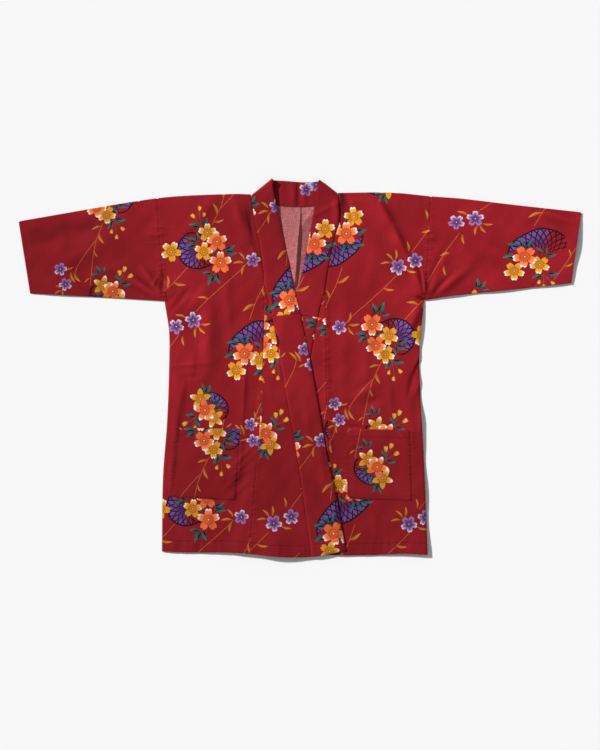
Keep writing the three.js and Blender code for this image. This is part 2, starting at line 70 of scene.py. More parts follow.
def smooth_line(*knots):
    """A smooth line through the knots, read as a function of their first number."""
    at, to = np.array(sorted(knots), float).T
    slope = np.gradient(to, at)
    slope[1:-1] = (to[2:] - to[:-2]) / (at[2:] - at[:-2])

    def read(where):
        where = np.asarray(where, float)
        i = np.clip(np.searchsorted(at, where, side="right") - 1, 0, len(at) - 2)
        step = at[i + 1] - at[i]
        t = np.clip((where - at[i]) / step, 0, 1)
        rise = (to[i + 1] - to[i]) / step
        bend = t * (1 - t) * ((1 - t) * (slope[i] - rise) - t * (slope[i + 1] - rise))
        before = np.minimum(where - at[0], 0) * slope[0]
        after = np.maximum(where - at[-1], 0) * slope[-1]
        return to[i] + (to[i + 1] - to[i]) * t + step * bend + before + after

    return read


# Across the garment: y at each x.
shoulder = {
    "right": smooth_line(
        (-661, 344.5), (-518, 369.5), (-434, 384), (-335, 399), (-264, 405), (-152, 409), (-116, 408)
    ),
    "left": smooth_line((89, 411.5), (215, 412), (307, 403.5), (384, 397.5), (497, 384), (661, 366)),
}
sleeve_foot = {
    "right": smooth_line((-634, 175), (-434, 164), (-318, 157)),
    "left": smooth_line((292, 158.5), (356, 169), (469, 180.5), (637, 199)),
}
hem = {
    "right": smooth_line(
        (-324, -431), (-264, -433.5), (-180, -433.5), (-123, -436),
        (-67, -442.5), (-10, -445), (46, -441.5), (107, -428.5),
    ),
    "left": smooth_line(
        (-130, -427), (-60, -435), (30, -438.5), (102, -440), (187, -439), (243, -436.5), (300, -439)
    ),
    "back": smooth_line((-324, -428), (-180, -430), (-12, -439), (187, -436), (300, -435)),
}

# Up the garment: x at each y.
side_seam = {
    "right": smooth_line(
        (399, -335), (323, -331), (238, -324), (156, -318), (90, -308),
        (26, -307), (-122, -312), (-258, -322), (-431, -324.5),
    ),
    "left": smooth_line(
        (403, 307), (310, 304), (220, 298), (158, 292), (48, 281),
        (-65, 283), (-190, 290), (-303, 295), (-437, 300),
    ),
}
cuff = {"right": smooth_line((175, -634), (344, -661)), "left": smooth_line((199, 637), (366, 661))}
collar_seam = {
    "right": smooth_line(
        (407, -116), (340, -106), (286, -94), (221, -85.5), (196, -84.5), (137, -68.5),
        (73, -57), (-51, -35), (-176, -12), (-286, 5), (-441, 26.5),
    ),
    "left": smooth_line(
        (410, 89), (384, 93.5), (344, 92), (284, 76), (232, 67), (184, 59), (135, 46.5),
        (73, 34), (-51, 12), (-176, -11), (-286, -28), (-441, -49.5),
    ),
}
free_edge = {
    "right": smooth_line(
        (441, -66), (419, -63), (365, -52), (322, -41.5), (259, -27), (205, -17.5),
        (121, 1.5), (10, 25), (-105, 46.5), (-195, 61.5), (-309, 87), (-430, 107.5),
    ),
    "left": smooth_line(
        (438, 45), (416, 39.5), (358, 30.5), (317, 22.5), (236, 7.5), (184, -6),
        (123, -20.5), (10, -47.5), (-105, -69.5), (-195, -84.5), (-309, -110), (-430, -130),
    ),
}
okumi_seam = {
    "right": smooth_line((196, -84.5), (123, -84), (-9, -88), (-131, -94.5), (-248, -103.5), (-441, -119)),
    "left": smooth_line((184, 59), (99, 61), (-63, 63), (-152, 67), (-227, 72), (-441, 90.5)),
}
back_seam = smooth_line((378, 2), (186, -8), (-440, -12))

# Soft folds of the front layer: a ridge from one point to another, its height and half width.
FOLDS = [
    (-297, -20, -302, -300, 1.6, 14), (-201, 95, -240, -60, 2.2, 22),
    (-133, 10, -136, -140, 1.2, 15), (-142, 396, -124, 290, 2.2, 15),
    (-262, 386, -177, 275, 1.8, 26), (-318, 165, -236, 252, 2.4, 17),
    (-316, 158, -205, 158, 1.9, 15), (-314, 150, -262, 50, 1.8, 16),
    (-154, -250, -112, -188, 1.6, 14), (-62, -380, -58, -450, 2.4, 24),
    (-176, -370, -168, -440, 1.4, 20), (-10, -200, 4, -330, 1.0, 15),
    (106, 392, 200, 248, 2.4, 20), (140, 408, 254, 300, 2.0, 19),
    (291, 162, 268, 252, 2.5, 14), (290, 158, 222, 186, 2.0, 14),
    (288, 150, 236, 60, 1.9, 16), (284, 32, 252, 6, 1.8, 13),
    (252, -20, 264, -300, 1.4, 15), (106, 170, 99, -120, 1.3, 14),
    (232, -350, 236, -440, 1.6, 22), (-322, 166, -396, 218, 2.2, 16),
    (-330, 320, -372, 306, 1.4, 14), (-430, 300, -560, 262, 1.2, 26),
    (300, 168, 318, 256, 2.5, 13), (304, 168, 404, 256, 2.5, 17),
    (300, 314, 334, 304, 1.6, 14), (574, 358, 636, 336, 1.5, 16),
    (440, 330, 560, 290, 1.2, 26),
]

# Its sharper creases, below zero where the cloth is drawn in. The last number, where there is
# one, is how much steeper the crease falls on its +X side than on the other.
CREASES = [
    (-160, 400, -127, 301, 1.2, 11, 0.3), (-127, 348, -106, 277, 0.9, 6, 0.3),
    (-118, 376, -113, 287, -0.8, 6), (-113, 287, -90, 221, 1.2, 6, 0.2),
    (-221, 164, -224, -9, 1.6, 20, 0.25), (-306, 132, -259, 188, -1.5, 7),
    (-268, 127, -221, 197, 1.1, 11, 0.2), (-325, 202, -322, 160, -1, 4), (-311, 5, -203, 14, 0.8, 5),
    (-275, -21, -235, -16, -0.8, 6), (-203, 404, -247, 343, 1.4, 16, 0.2),
    (-337, 334, -306, 327, 0.8, 3), (-337, 317, -311, 317, 0.7, 3), (-337, 298, -315, 296, 0.6, 3),
    (183, 388, 216, 334, 2.1, 10, 0.5), (216, 334, 244, 273, 2.1, 9, 0.6),
    (244, 273, 284, 188, 1.4, 8, 0.3), (267, 167, 300, 160, -1.2, 5),
    (282, 150, 253, 85, 2, 10, 0.2), (291, 320, 314, 322, 0.8, 3), (291, 306, 317, 306, 0.7, 3),
    (291, 289, 314, 284, 0.8, 3), (199, 47, 206, 9, -1, 12), (284, 38, 263, -9, 1.4, 6, 0.3),
    (277, 12, 258, -42, -1, 5), (291, -9, 267, -70, 1.2, 6, 0.2), (108, 404, 122, 334, -1.6, 6),
    (-273, -24, -287, -103, 1.2, 9, 0.4), (-287, -103, -299, -183, 1.1, 8, 0.4),
    (-299, -183, -308, -291, 1.0, 8, 0.4), (-184, -289, -109, -223, 0.9, 6),
    (-170, -266, -104, -197, 0.9, 6), (-174, -313, -118, -263, 0.7, 6),
    (-160, -234, -99, -169, 0.8, 6), (-90, -28, -99, -169, 0.8, 8, 0.2),
    (122, -70, 176, -38, 1.6, 10), (145, -87, 192, -66, -1.2, 10), (108, -136, 159, -139, -1.2, 4.5),
    (227, -146, 246, -164, 1, 4), (263, -21, 253, -70, -1.2, 5), (291, -75, 282, -150, 1.2, 7, 0.3),
    (-635, 301, -560, 324, -1.8, 26), (-560, 324, -459, 343, -1.6, 24),
    (-327, 167, -419, 219, 1.9, 8), (-327, 174, -376, 240, 1.7, 7), (-329, 169, -400, 228, -1.1, 5),
    (-353, 334, -325, 329, 0.7, 3), (-358, 315, -325, 310, 0.7, 3), (-353, 294, -327, 294, 0.6, 3),
    (-470, 289, -564, 249, 0.9, 16), (300, 162, 324, 230, 2.2, 9, 0.3),
    (324, 230, 350, 277, 1.8, 10, 0.3), (310, 167, 394, 235, 1.9, 9), (305, 164, 357, 226, -1.3, 6),
    (296, 164, 286, 235, 1.4, 4, 0.2), (291, 169, 277, 249, -1.2, 4), (564, 369, 639, 343, 1.2, 7),
    (564, 343, 625, 310, 1, 6), (399, 160, 470, 169, 0.8, 6), (540, 188, 582, 219, -0.8, 5),
    (-334, 232, -321, 210, 1.4, 4), (-321, 210, -326, 180, -1.4, 4), (-330, 222, -348, 190, 1.0, 5),
    (-316, 206, -303, 184, 1.2, 5), (-127, 30, -135, -146, 0.8, 5, 0.5),
    (-135, -146, -144, -263, 0.7, 5, 0.5), (-250, 60, -262, -60, 0.6, 9, 0.3),
    (-178, 240, -168, 60, 0.7, 12, 0.3), (160, 150, 150, -60, 0.7, 12, 0.3),
    (205, -20, 214, -120, 0.6, 9, 0.3), (40, -150, 62, -330, 0.6, 10), (10, -60, 24, -230, 0.5, 9),
    (180, 300, 150, 180, 0.6, 14), (-236, 360, -290, 300, 0.8, 12), (-400, 250, -520, 210, 0.8, 12),
    (420, 290, 520, 240, 0.8, 14), (-215, -330, -222, -400, 0.6, 9), (170, -340, 176, -420, 0.6, 9),
]

# Stretches of the outline that lift off the floor: the middle, the reach and the lift.
CURLS = [
    (-62, -452, 95, 4.5), (-168, -446, 80, 2), (312, -446, 120, 4.5), (310, -290, 95, 3.5),
    (300, -150, 90, 3.5), (294, 90, 80, 3.5), (360, 160, 75, 2.5), (480, 172, 85, 2.5),
    (600, 186, 80, 2.5), (668, 286, 75, 4), (-560, 160, 80, 1.5),
]


def ease(t):
    t = np.clip(t, 0, 1)
    return t * t * (3 - 2 * t)


def bell(distance, width):
    return np.exp(-((distance / width) ** 2))


def to_segment(x, y, x0, y0, x1, y1):
    """How far a point is from a segment, and how far along it the nearest place lies."""
    dx, dy = x1 - x0, y1 - y0
    t = np.clip(((x - x0) * dx + (y - y0) * dy) / (dx * dx + dy * dy), 0, 1)
    return np.hypot(x - x0 - t * dx, y - y0 - t * dy), t


def stretch(edge, start, end, across, step=14.0):
    """Points a short step apart along a line of the garment."""
    at = np.linspace(start, end, max(int(math.ceil(abs(end - start) / step)), 1) + 1)
    return np.column_stack((at, edge(at)) if across else (edge(at), at))


SEWN_OUTLINE = [
    stretch(shoulder["right"], -661, -116, True),
    stretch(shoulder["left"], 89, 661, True),
    stretch(sleeve_foot["right"], -634, -318, True),
    stretch(sleeve_foot["left"], 292, 637, True),
    stretch(side_seam["right"], 156, -431, False),
    stretch(side_seam["left"], 158, -437, False),
]


def from_lines(x, y, lines):
    """How far each point is from the nearest of the lines."""
    nearest = np.full(np.shape(x), np.inf)
    for points in lines:
        for (x0, y0), (x1, y1) in zip(points[:-1], points[1:]):
            nearest = np.minimum(nearest, to_segment(x, y, x0, y0, x1, y1)[0])
    return nearest


def ridges(x, y, table, root, tip):
    """The height of a table of folds: root is what is left of one at its ends, tip softens it."""
    total = np.zeros(np.shape(x))
    for x0, y0, x1, y1, height, width, *steep in table:
        distance, t = to_segment(x, y, x0, y0, x1, y1)
        along = root + (1 - root) * np.sin(np.pi * np.minimum(t + tip, 1))
        if steep:
            right = np.tanh(((y - y0) * (x1 - x0) - (x - x0) * (y1 - y0)) / (width * abs(y1 - y0)))
            width = width * (1 - steep[0] * right)
        total += height * along * bell(distance, width)
    return total


def lift(x, y):
    """How far the floor side of the garment stands off the floor."""
    total = np.zeros(np.shape(x))
    for cx, cy, reach, height in CURLS:
        near = np.clip(1 - ((x - cx) ** 2 + (y - cy) ** 2) / reach**2, 0, None)
        total += height * near * near
    return total


def puckers(seam, start, end, spacing, height, reach, seed):
    """Short pinches across a seam, uneven in place, length and height, as rows of ridges."""
    chance = np.random.default_rng(seed)
    rows = []
    y = start
    while y > end:
        x = float(seam(y))
        left, right = reach * chance.uniform(0.5, 1, 2)
        tall, wide = height * chance.uniform(0.4, 1.3), chance.uniform(3.0, 4.6)
        slant = chance.uniform(-2.5, 2.5)
        rows.append((x - left, y - slant, x + right, y + slant, tall, wide))
        y -= spacing * chance.uniform(0.6, 1.5)
    return rows


PUCKERED = [
    (okumi_seam["left"], 180, -425, 7.5, 1.7, 13, 3), (okumi_seam["right"], 180, -425, 14, 0.8, 9, 4),
    (side_seam["right"], 380, 165, 11, 0.8, 12, 5), (side_seam["left"], 390, 165, 11, 0.9, 14, 6),
    (lambda y: 112.0, -146, -300, 10, 1.1, 14, 7), (lambda y: 261.0, -150, -305, 14, 0.8, 9, 8),
    (lambda y: -148 + 0.06 * (y + 230), -146, -305, 14, 0.7, 9, 9),
    (lambda y: -295 + 0.11 * (y + 230), -146, -300, 13, 0.8, 9, 10),
]
PUCKERS = [row for seam in PUCKERED for row in puckers(*seam)]

# The turned hem puckers too, in front.
for side, start, end, seed in (("right", -310, 95, 11), ("left", 95, 290, 12)):
    chance = np.random.default_rng(seed)
    x = start
    while x < end:
        y = float(hem[side](x))
        tall, slant = chance.uniform(0.4, 1.1), chance.uniform(-5, 5)
        PUCKERS.append((x, y + 3, x + slant, y + chance.uniform(24, 46), tall, chance.uniform(4, 7)))
        x += chance.uniform(14, 34)

WAVES = [
    (0.061, 0.023, 0.4), (-0.034, 0.052, 1.9), (0.018, -0.083, 3.1), (0.094, 0.041, 5.0),
    (-0.12, 0.09, 2.2),
]
SWELL = 0.16


def unevenness(x, y):
    """The cotton never lies quite flat: a slow uneven swell."""
    return SWELL * sum(np.sin(a * x + b * y + c + 1.4 * np.sin(0.013 * (y - x) + c)) for a, b, c in WAVES)


CREASE_STRENGTH = 1.55
DEEPEST = 1.05  # how far a crease may sink at a seam


def lower_front(x, y):
    """Top of the front layer where it lies on the back."""
    shape = FOLD_LIMIT * np.tanh(ridges(x, y, FOLDS, 0.45, 0.25) / FOLD_LIMIT)
    inward = ease(from_lines(x, y, SEWN_OUTLINE) / EDGE_FADE)
    fine = CREASE_STRENGTH * ridges(x, y, CREASES, 0.25, 0.0) + ridges(x, y, PUCKERS, 0.1, 0.0)
    raised = inward * (AIR + shape + unevenness(x, y)) + np.maximum(fine, -DEEPEST - 0.9 * inward)
    return lift(x, y) + 2 * CLOTH + SEAM + raised


def upper_front(x, y):
    """Top of the front layer where it climbs over the lower front's collar."""
    return lower_front(x, y) + LAP * ease((x - free_edge["left"](y)) / LAP_RAMP + 1.3)


front_top = {"right": upper_front, "left": lower_front}

HEM_DEPTH = 26.0  # the hem is turned up this far
HEM_STAND = 0.4
STITCH_DENT = 0.45
STITCH_REACH = 1.1


def hem_turn(side, x, y):
    """The doubled cloth below the hem's row of stitching, and the dent along that row."""
    above = y - hem[side](x) - HEM_DEPTH
    dent = STITCH_DENT * bell(above, STITCH_REACH)
    return HEM_STAND * (1 - ease(above / 1.6 + 0.5)) - dent


def fold_line(side, x):
    """The y at which the cloth starts to turn over the shoulder or the top of the sleeve."""
    neck = NECK[side][0]
    x = np.minimum(x, neck) if side == "right" else np.maximum(x, neck)
    return shoulder[side](x) - ROLL


TURN = math.pi * ROLL  # the cloth taken up by a fold
BACK_CREASES = [(32, 370, 3, 333, 1.3, 6), (3, 333, -9, 193, 0.7, 5), (-40, 372, -36, 300, 0.5, 9)]


def rise_at_neck(x, y):
    """The back rises a little towards the opening between the fronts."""
    return 1.4 * bell(x + 5, 60) * ease((y - 110) / 70) * ease((398 - y) / 30)


def behind(side, x, y):
    """How far up the cloth a place on the back comes, measured over the fold from the front."""
    return 2 * fold_line(side, x) + TURN - y


def over_the_fold(side, x, v):
    """A place on the front, over the fold and on down the back, v being measured up the cloth."""
    fold = fold_line(side, x)
    angle = np.clip((v - fold) / TURN, 0, 1) * np.pi
    turning_y = np.where(v >= fold + TURN, 2 * fold + TURN - v, fold + ROLL * np.sin(angle))
    y = np.where(v <= fold, v, turning_y)
    on_back = ridges(x, y, BACK_CREASES, 0.3, 0) + rise_at_neck(x, y)
    z = lift(x, y) + ROLL * (1 + np.cos(angle)) + np.where(v > fold + TURN, on_back, 0)
    on_front = v <= fold
    z[on_front] = front_top[side](x[on_front], y[on_front]) + hem_turn(side, x[on_front], y[on_front])
    return np.column_stack((x, y, z))


def inside(points, loop):
    x, y = points.T
    found = np.zeros(len(points), bool)
    for (x0, y0), (x1, y1) in zip(loop, np.roll(loop, -1, axis=0)):
        if y0 != y1:
            found ^= ((y0 > y) != (y1 > y)) & (x < (x1 - x0) * (y - y0) / (y1 - y0) + x0)
    return found


def even_steps(loop, step):
    """A closed loop cut again at even steps, its corners kept."""
    pieces = []
    for start, end in zip(loop, np.roll(loop, -1, axis=0)):
        count = max(int(round(np.hypot(*(end - start)) / step)), 1)
        pieces.append(start + (end - start) * (np.arange(count) / count)[:, None])
    return np.concatenate(pieces)


EDGE_ROWS = (0.5, 1.2, 2.4, 4.6)  # how far in from the edge the rows of points beside it lie


def cut_cloth(loop, motifs, folds):
    """The flat mesh of a piece: its edge, rows of points along it and along its folds, an even
    grid and its print."""
    area = np.sum(loop[:, 0] * np.roll(loop[:, 1], -1) - np.roll(loop[:, 0], -1) * loop[:, 1]) / 2
    loop = loop if area > 0 else loop[::-1]
    loop = even_steps(loop, EDGE_STEP)
    ahead = np.roll(loop, -1, axis=0) - np.roll(loop, 1, axis=0)
    inward = np.column_stack((-ahead[:, 1], ahead[:, 0])) / np.hypot(*ahead.T)[:, None]
    ring = [np.vstack((loop, loop[:1]))]
    rows = [loop]
    for depth in EDGE_ROWS:
        row = loop + inward * depth
        rows.append(row[(from_lines(*row.T, ring) > 0.86 * depth) & inside(row, loop)])
    low, high = loop.min(axis=0), loop.max(axis=0)
    across, up = np.arange(low[0], high[0], GRAIN), np.arange(low[1], high[1], GRAIN * 0.866)
    grid = np.stack(np.meshgrid(across, up), axis=-1)
    grid[1::2, :, 0] += GRAIN / 2
    grid = grid.reshape(-1, 2)
    grid = grid[inside(grid, loop)]
    grid = grid[from_lines(*grid.T, ring) > EDGE_ROWS[-1] + GRAIN * 0.5]
    for fold in folds:
        near = np.all((grid > fold.min(axis=0) - 2) & (grid < fold.max(axis=0) + 2), axis=1)
        if near.any():
            near[near] = from_lines(*grid[near].T, [fold]) < 1.5
            grid = grid[~near]
    if len(folds):
        row = np.concatenate(folds)
        row = row[np.all((row > low) & (row < high), axis=1)]
        row = row[inside(row, loop)]
        rows.append(row[from_lines(*row.T, ring) > 0.8])
    points = np.concatenate(rows + [grid] + [motif["loop"] for motif in motifs])
    faces = [list(range(len(loop)))]
    total = len(points) - sum(len(motif["loop"]) for motif in motifs)
    for motif in motifs:
        faces.append(list(range(total, total + len(motif["loop"]))))
        total += len(motif["loop"])
    made = geometry.delaunay_2d_cdt([Vector(p) for p in points], [], faces, 0, 1e-4, False)
    flat = np.array([tuple(p) for p in made[0]])
    triangles = np.array(made[2], int)
    a, b, c = (flat[triangles[:, k]] for k in range(3))
    sweep = (b[:, 0] - a[:, 0]) * (c[:, 1] - a[:, 1]) - (b[:, 1] - a[:, 1]) * (c[:, 0] - a[:, 0])
    triangles[sweep < 0] = triangles[sweep < 0][:, ::-1]
    middle = flat[triangles].mean(axis=1)
    triangles = triangles[(np.abs(sweep) > 1e-5) & inside(middle, loop)]
    used, triangles = np.unique(triangles, return_inverse=True)
    return flat[used], triangles.reshape(-1, 3), abs(area)


def print_places(flat, triangles, motifs):
    """For each corner, where it lies in the motif that it belongs to, and the motif's colours."""
    middle = flat[triangles].mean(axis=1)
    owner = np.full(len(triangles), -1)
    for index, motif in enumerate(motifs):
        low, high = motif["loop"].min(axis=0), motif["loop"].max(axis=0)
        near = np.nonzero(np.all((middle > low) & (middle < high), axis=1))[0]
        owner[near[inside(middle[near], motif["loop"])]] = index
    places = np.zeros((len(triangles), 3, 3))
    for index in np.unique(owner[owner >= 0]):
        mine = owner == index
        corners = flat[triangles[mine]].reshape(-1, 2)
        places[mine, :, :2] = motifs[index]["local"](corners).reshape(-1, 3, 2)
        places[mine, :, 2] = motifs[index]["ink"]
    return places


def surface_normals(points, triangles):
    a, b, c = (points[triangles[:, k]] for k in range(3))
    face = np.cross(b - a, c - a)
    total = np.zeros_like(points)
    for k in range(3):
        np.add.at(total, triangles[:, k], face)
    return total / np.maximum(np.linalg.norm(total, axis=1), 1e-9)[:, None]


def sew_shell(parts, name, finish):
    """Closes each cut sheet into a wall of cotton and joins the sheets into one piece.

    A part is (flat points, triangles, outer points in mm, print places, thickness, pressing
    with painted shade, gathering)."""
    points, faces, slots, uvs, places, pressing_and_shade, gatherings = [], [], [], [], [], [], []
    base = 0
    for flat, triangles, outer, printed, wall, pressed_and_shaded, gathered in parts:
        count = len(outer)
        inner = outer - surface_normals(outer, triangles) * wall
        points += [outer, inner]
        pressing_and_shade += [pressed_and_shaded, pressed_and_shaded]
        gatherings += [gathered, gathered]
        edges = np.concatenate([triangles[:, [k, (k + 1) % 3]] for k in range(3)])
        keys = np.sort(edges, axis=1)
        _, first, times = np.unique(keys, axis=0, return_index=True, return_counts=True)
        rim = edges[first[times == 1]]
        backs = triangles[:, ::-1] + count
        sides = np.column_stack((rim[:, 1], rim[:, 0], rim[:, 0] + count, rim[:, 1] + count))
        faces += (triangles + base).tolist() + (backs + base).tolist() + (sides + base).tolist()
        slots += [0] * len(triangles) + [1] * len(triangles) + [0] * len(sides)
        both = np.vstack((flat, flat))
        uvs += [both[triangles].reshape(-1, 2), both[backs].reshape(-1, 2), both[sides].reshape(-1, 2)]
        places += [printed.reshape(-1, 3), printed[:, ::-1].reshape(-1, 3), np.zeros((sides.size, 3))]
        base += 2 * count
    mesh = bpy.data.meshes.new(name)
    mesh.from_pydata((np.concatenate(points) * 0.001).tolist(), [], faces)
    mesh.polygons.foreach_set("material_index", slots)
    cloth = mesh.uv_layers.new(name="cloth")
    cloth.data.foreach_set("uv", (np.concatenate(uvs) * 0.001).ravel().tolist())
    where = mesh.attributes.new("print_at", "FLOAT_VECTOR", "CORNER")
    where.data.foreach_set("vector", np.concatenate(places).ravel().tolist())
    for label, values in (("pressed_and_shaded", pressing_and_shade), ("gathered", gatherings)):
        shares = mesh.attributes.new(label, "FLOAT", "POINT")
        shares.data.foreach_set("value", np.concatenate(values).tolist())
    for material in finish:
        mesh.materials.append(material)
    mesh.update()
    mesh.shade_smooth()
    mesh.set_sharp_from_angle(angle=math.radians(55))
    piece = bpy.data.objects.new(name, mesh)
    bpy.context.scene.collection.objects.link(piece)
    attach(piece, "root")
    return piece


# The print: clusters of cherry blossom with a basket, tendrils with small leaves, and loose
# violet blossoms. It repeats down the cloth, and is laid out here in steps, with y down.
STEP = 2.35  # mm
REPEAT = 257.0
LAYOUT_MIDDLE = (300.2, 368.0)  # where the middle of the garment comes in the layout
# The last two inks are no print: painted shadow and painted shade inside the neck.
ORANGE, YELLOW, VIOLET, TEAL, OCHRE, TENDRIL, BASKET, BUD, STALK, HOLLOW_SHADOW, SHADED = range(1, 12)


def blossom(x, y, radius, ink, turn=0.0, pointed=False):
    """Five petals round a centre, the first one straight up before it is turned."""
    half = [0.12, 0.26, 0.4, 0.56, 0.74, 0.9]
    within = np.array([-1] + [-share for share in half[::-1]] + [0] + half)
    if pointed:
        reach = 1.06 - 0.63 * np.abs(within) ** 1.15
    else:
        reach = 1.04 - 0.56 * np.abs(within) ** 1.9 - 0.17 * bell(within, 0.11)
    angle = np.radians((np.arange(5)[:, None] * 72 + within * 36).ravel() + turn)
    reach = np.tile(reach, 5) * radius
    loop = np.column_stack((x + reach * np.sin(angle), y - reach * np.cos(angle)))
    turned = math.radians(turn)

    def local(p):
        dx, dy = (p[:, 0] - x) / radius, (y - p[:, 1]) / radius
        aside = dx * math.cos(turned) - dy * math.sin(turned)
        return np.column_stack((aside, dx * math.sin(turned) + dy * math.cos(turned)))

    return {"ink": ink, "loop": loop, "local": local}


def along_line(edge, x0, y0, x1, y1):
    """An outline drawn along a unit line, brought onto the line from one point to another."""
    dx, dy = x1 - x0, y1 - y0
    return np.column_stack((x0 + edge[:, 0] * dx - edge[:, 1] * dy, y0 + edge[:, 0] * dy + edge[:, 1] * dx))


def leaf(x0, y0, x1, y1, ink, fat=0.155, bend=0.1):
    """A pointed leaf from its stalk to its tip, a little curved."""
    along = np.array([0, 0.12, 0.3, 0.5, 0.7, 0.87, 1.0])
    half = fat * np.sin(np.pi * along**0.85) ** 0.9
    bow = bend * np.sin(np.pi * along)
    dx, dy = x1 - x0, y1 - y0
    length = math.hypot(dx, dy)
    low_edge = np.column_stack((along, bow - half))[-2:0:-1]
    edge = np.concatenate((np.column_stack((along, bow + half)), low_edge))
    loop = along_line(edge, x0, y0, x1, y1)

    def local(p):
        ahead = ((p[:, 0] - x0) * dx + (p[:, 1] - y0) * dy) / length**2
        aside = (-(p[:, 0] - x0) * dy + (p[:, 1] - y0) * dx) / length**2
        return np.column_stack((ahead, (aside - bend * np.sin(np.pi * np.clip(ahead, 0, 1))) / fat))

    return {"ink": ink, "loop": loop, "local": local}


def bud(x0, y0, x1, y1):
    """A closed blossom, round at its stalk and with three points at its end."""
    shape = leaf(x0, y0, x1, y1, BUD, 0.34, 0.0)
    edge = np.array([(0, 0), (0.12, 0.18), (0.4, 0.33), (0.75, 0.33), (1.0, 0.27), (0.84, 0.1), (1.04, 0)])
    edge = np.concatenate((edge, edge[-2:0:-1] * (1, -1)))
    shape["loop"] = along_line(edge, x0, y0, x1, y1)
    return shape


def curve_through(points, share, at):
    """A smooth curve through points, where share says how far along it each of them is."""
    return np.column_stack([smooth_line(*zip(share, points[:, k]))(at) for k in (0, 1)])


def strand(points, ink, width=0.58):
    """A drawn line that swells and thins a little, through a few points."""
    points = np.array(points, float)
    share = np.concatenate(([0], np.cumsum(np.hypot(*np.diff(points, axis=0).T))))
    at = np.linspace(0, share[-1], max(int(share[-1] / 3.2), 3) + 1)
    if len(points) > 2:
        path = curve_through(points, share, at)
    else:
        path = points[0] + (points[-1] - points[0]) * (at / share[-1])[:, None]
    ahead = np.gradient(path, axis=0)
    out = np.column_stack((-ahead[:, 1], ahead[:, 0])) / np.hypot(*ahead.T)[:, None]
    half = width / 2 * (0.75 + 0.35 * np.sin(at * 0.31) ** 2)[:, None]
    loop = np.concatenate((path + out * half, (path - out * half)[::-1]))
    return {"ink": ink, "loop": loop, "local": lambda p: (p - points[0]) / 10}


def basket(x, y, outer, inner):
    """A crescent of basketwork round the back of a cluster. It fades out at its last end."""
    outer, inner = np.array(outer, float), np.array(inner, float)
    a = np.column_stack((2 * outer, np.ones(len(outer))))
    fit = np.linalg.lstsq(a, (outer**2).sum(axis=1), rcond=None)[0]
    centre = fit[:2]

    at = np.linspace(0, 1, 22)
    outer, inner = (curve_through(row, np.linspace(0, 1, len(row)), at) for row in (outer, inner))
    middle = outer[len(outer) // 2] - centre
    facing = math.atan2(middle[1], middle[0])

    def polar(points):
        d = points - centre
        angle = (np.arctan2(d[:, 1], d[:, 0]) - facing + np.pi) % (2 * np.pi) - np.pi
        return angle, np.hypot(*d.T)

    outer_angle, outer_reach = polar(outer)
    way = 1 if outer_angle[-1] > outer_angle[0] else -1
    order = np.argsort(outer_angle)

    def local(p):
        angle, reach = polar(p - (x, y))
        far = np.interp(angle, outer_angle[order], outer_reach[order])
        along = way * (angle - outer_angle[-1]) * outer_reach.mean() / 10
        return np.column_stack((along, (reach - far) / 10))

    loop = np.concatenate((outer, inner[::-1])) + (x, y)
    return {"ink": BASKET, "loop": loop, "local": local}


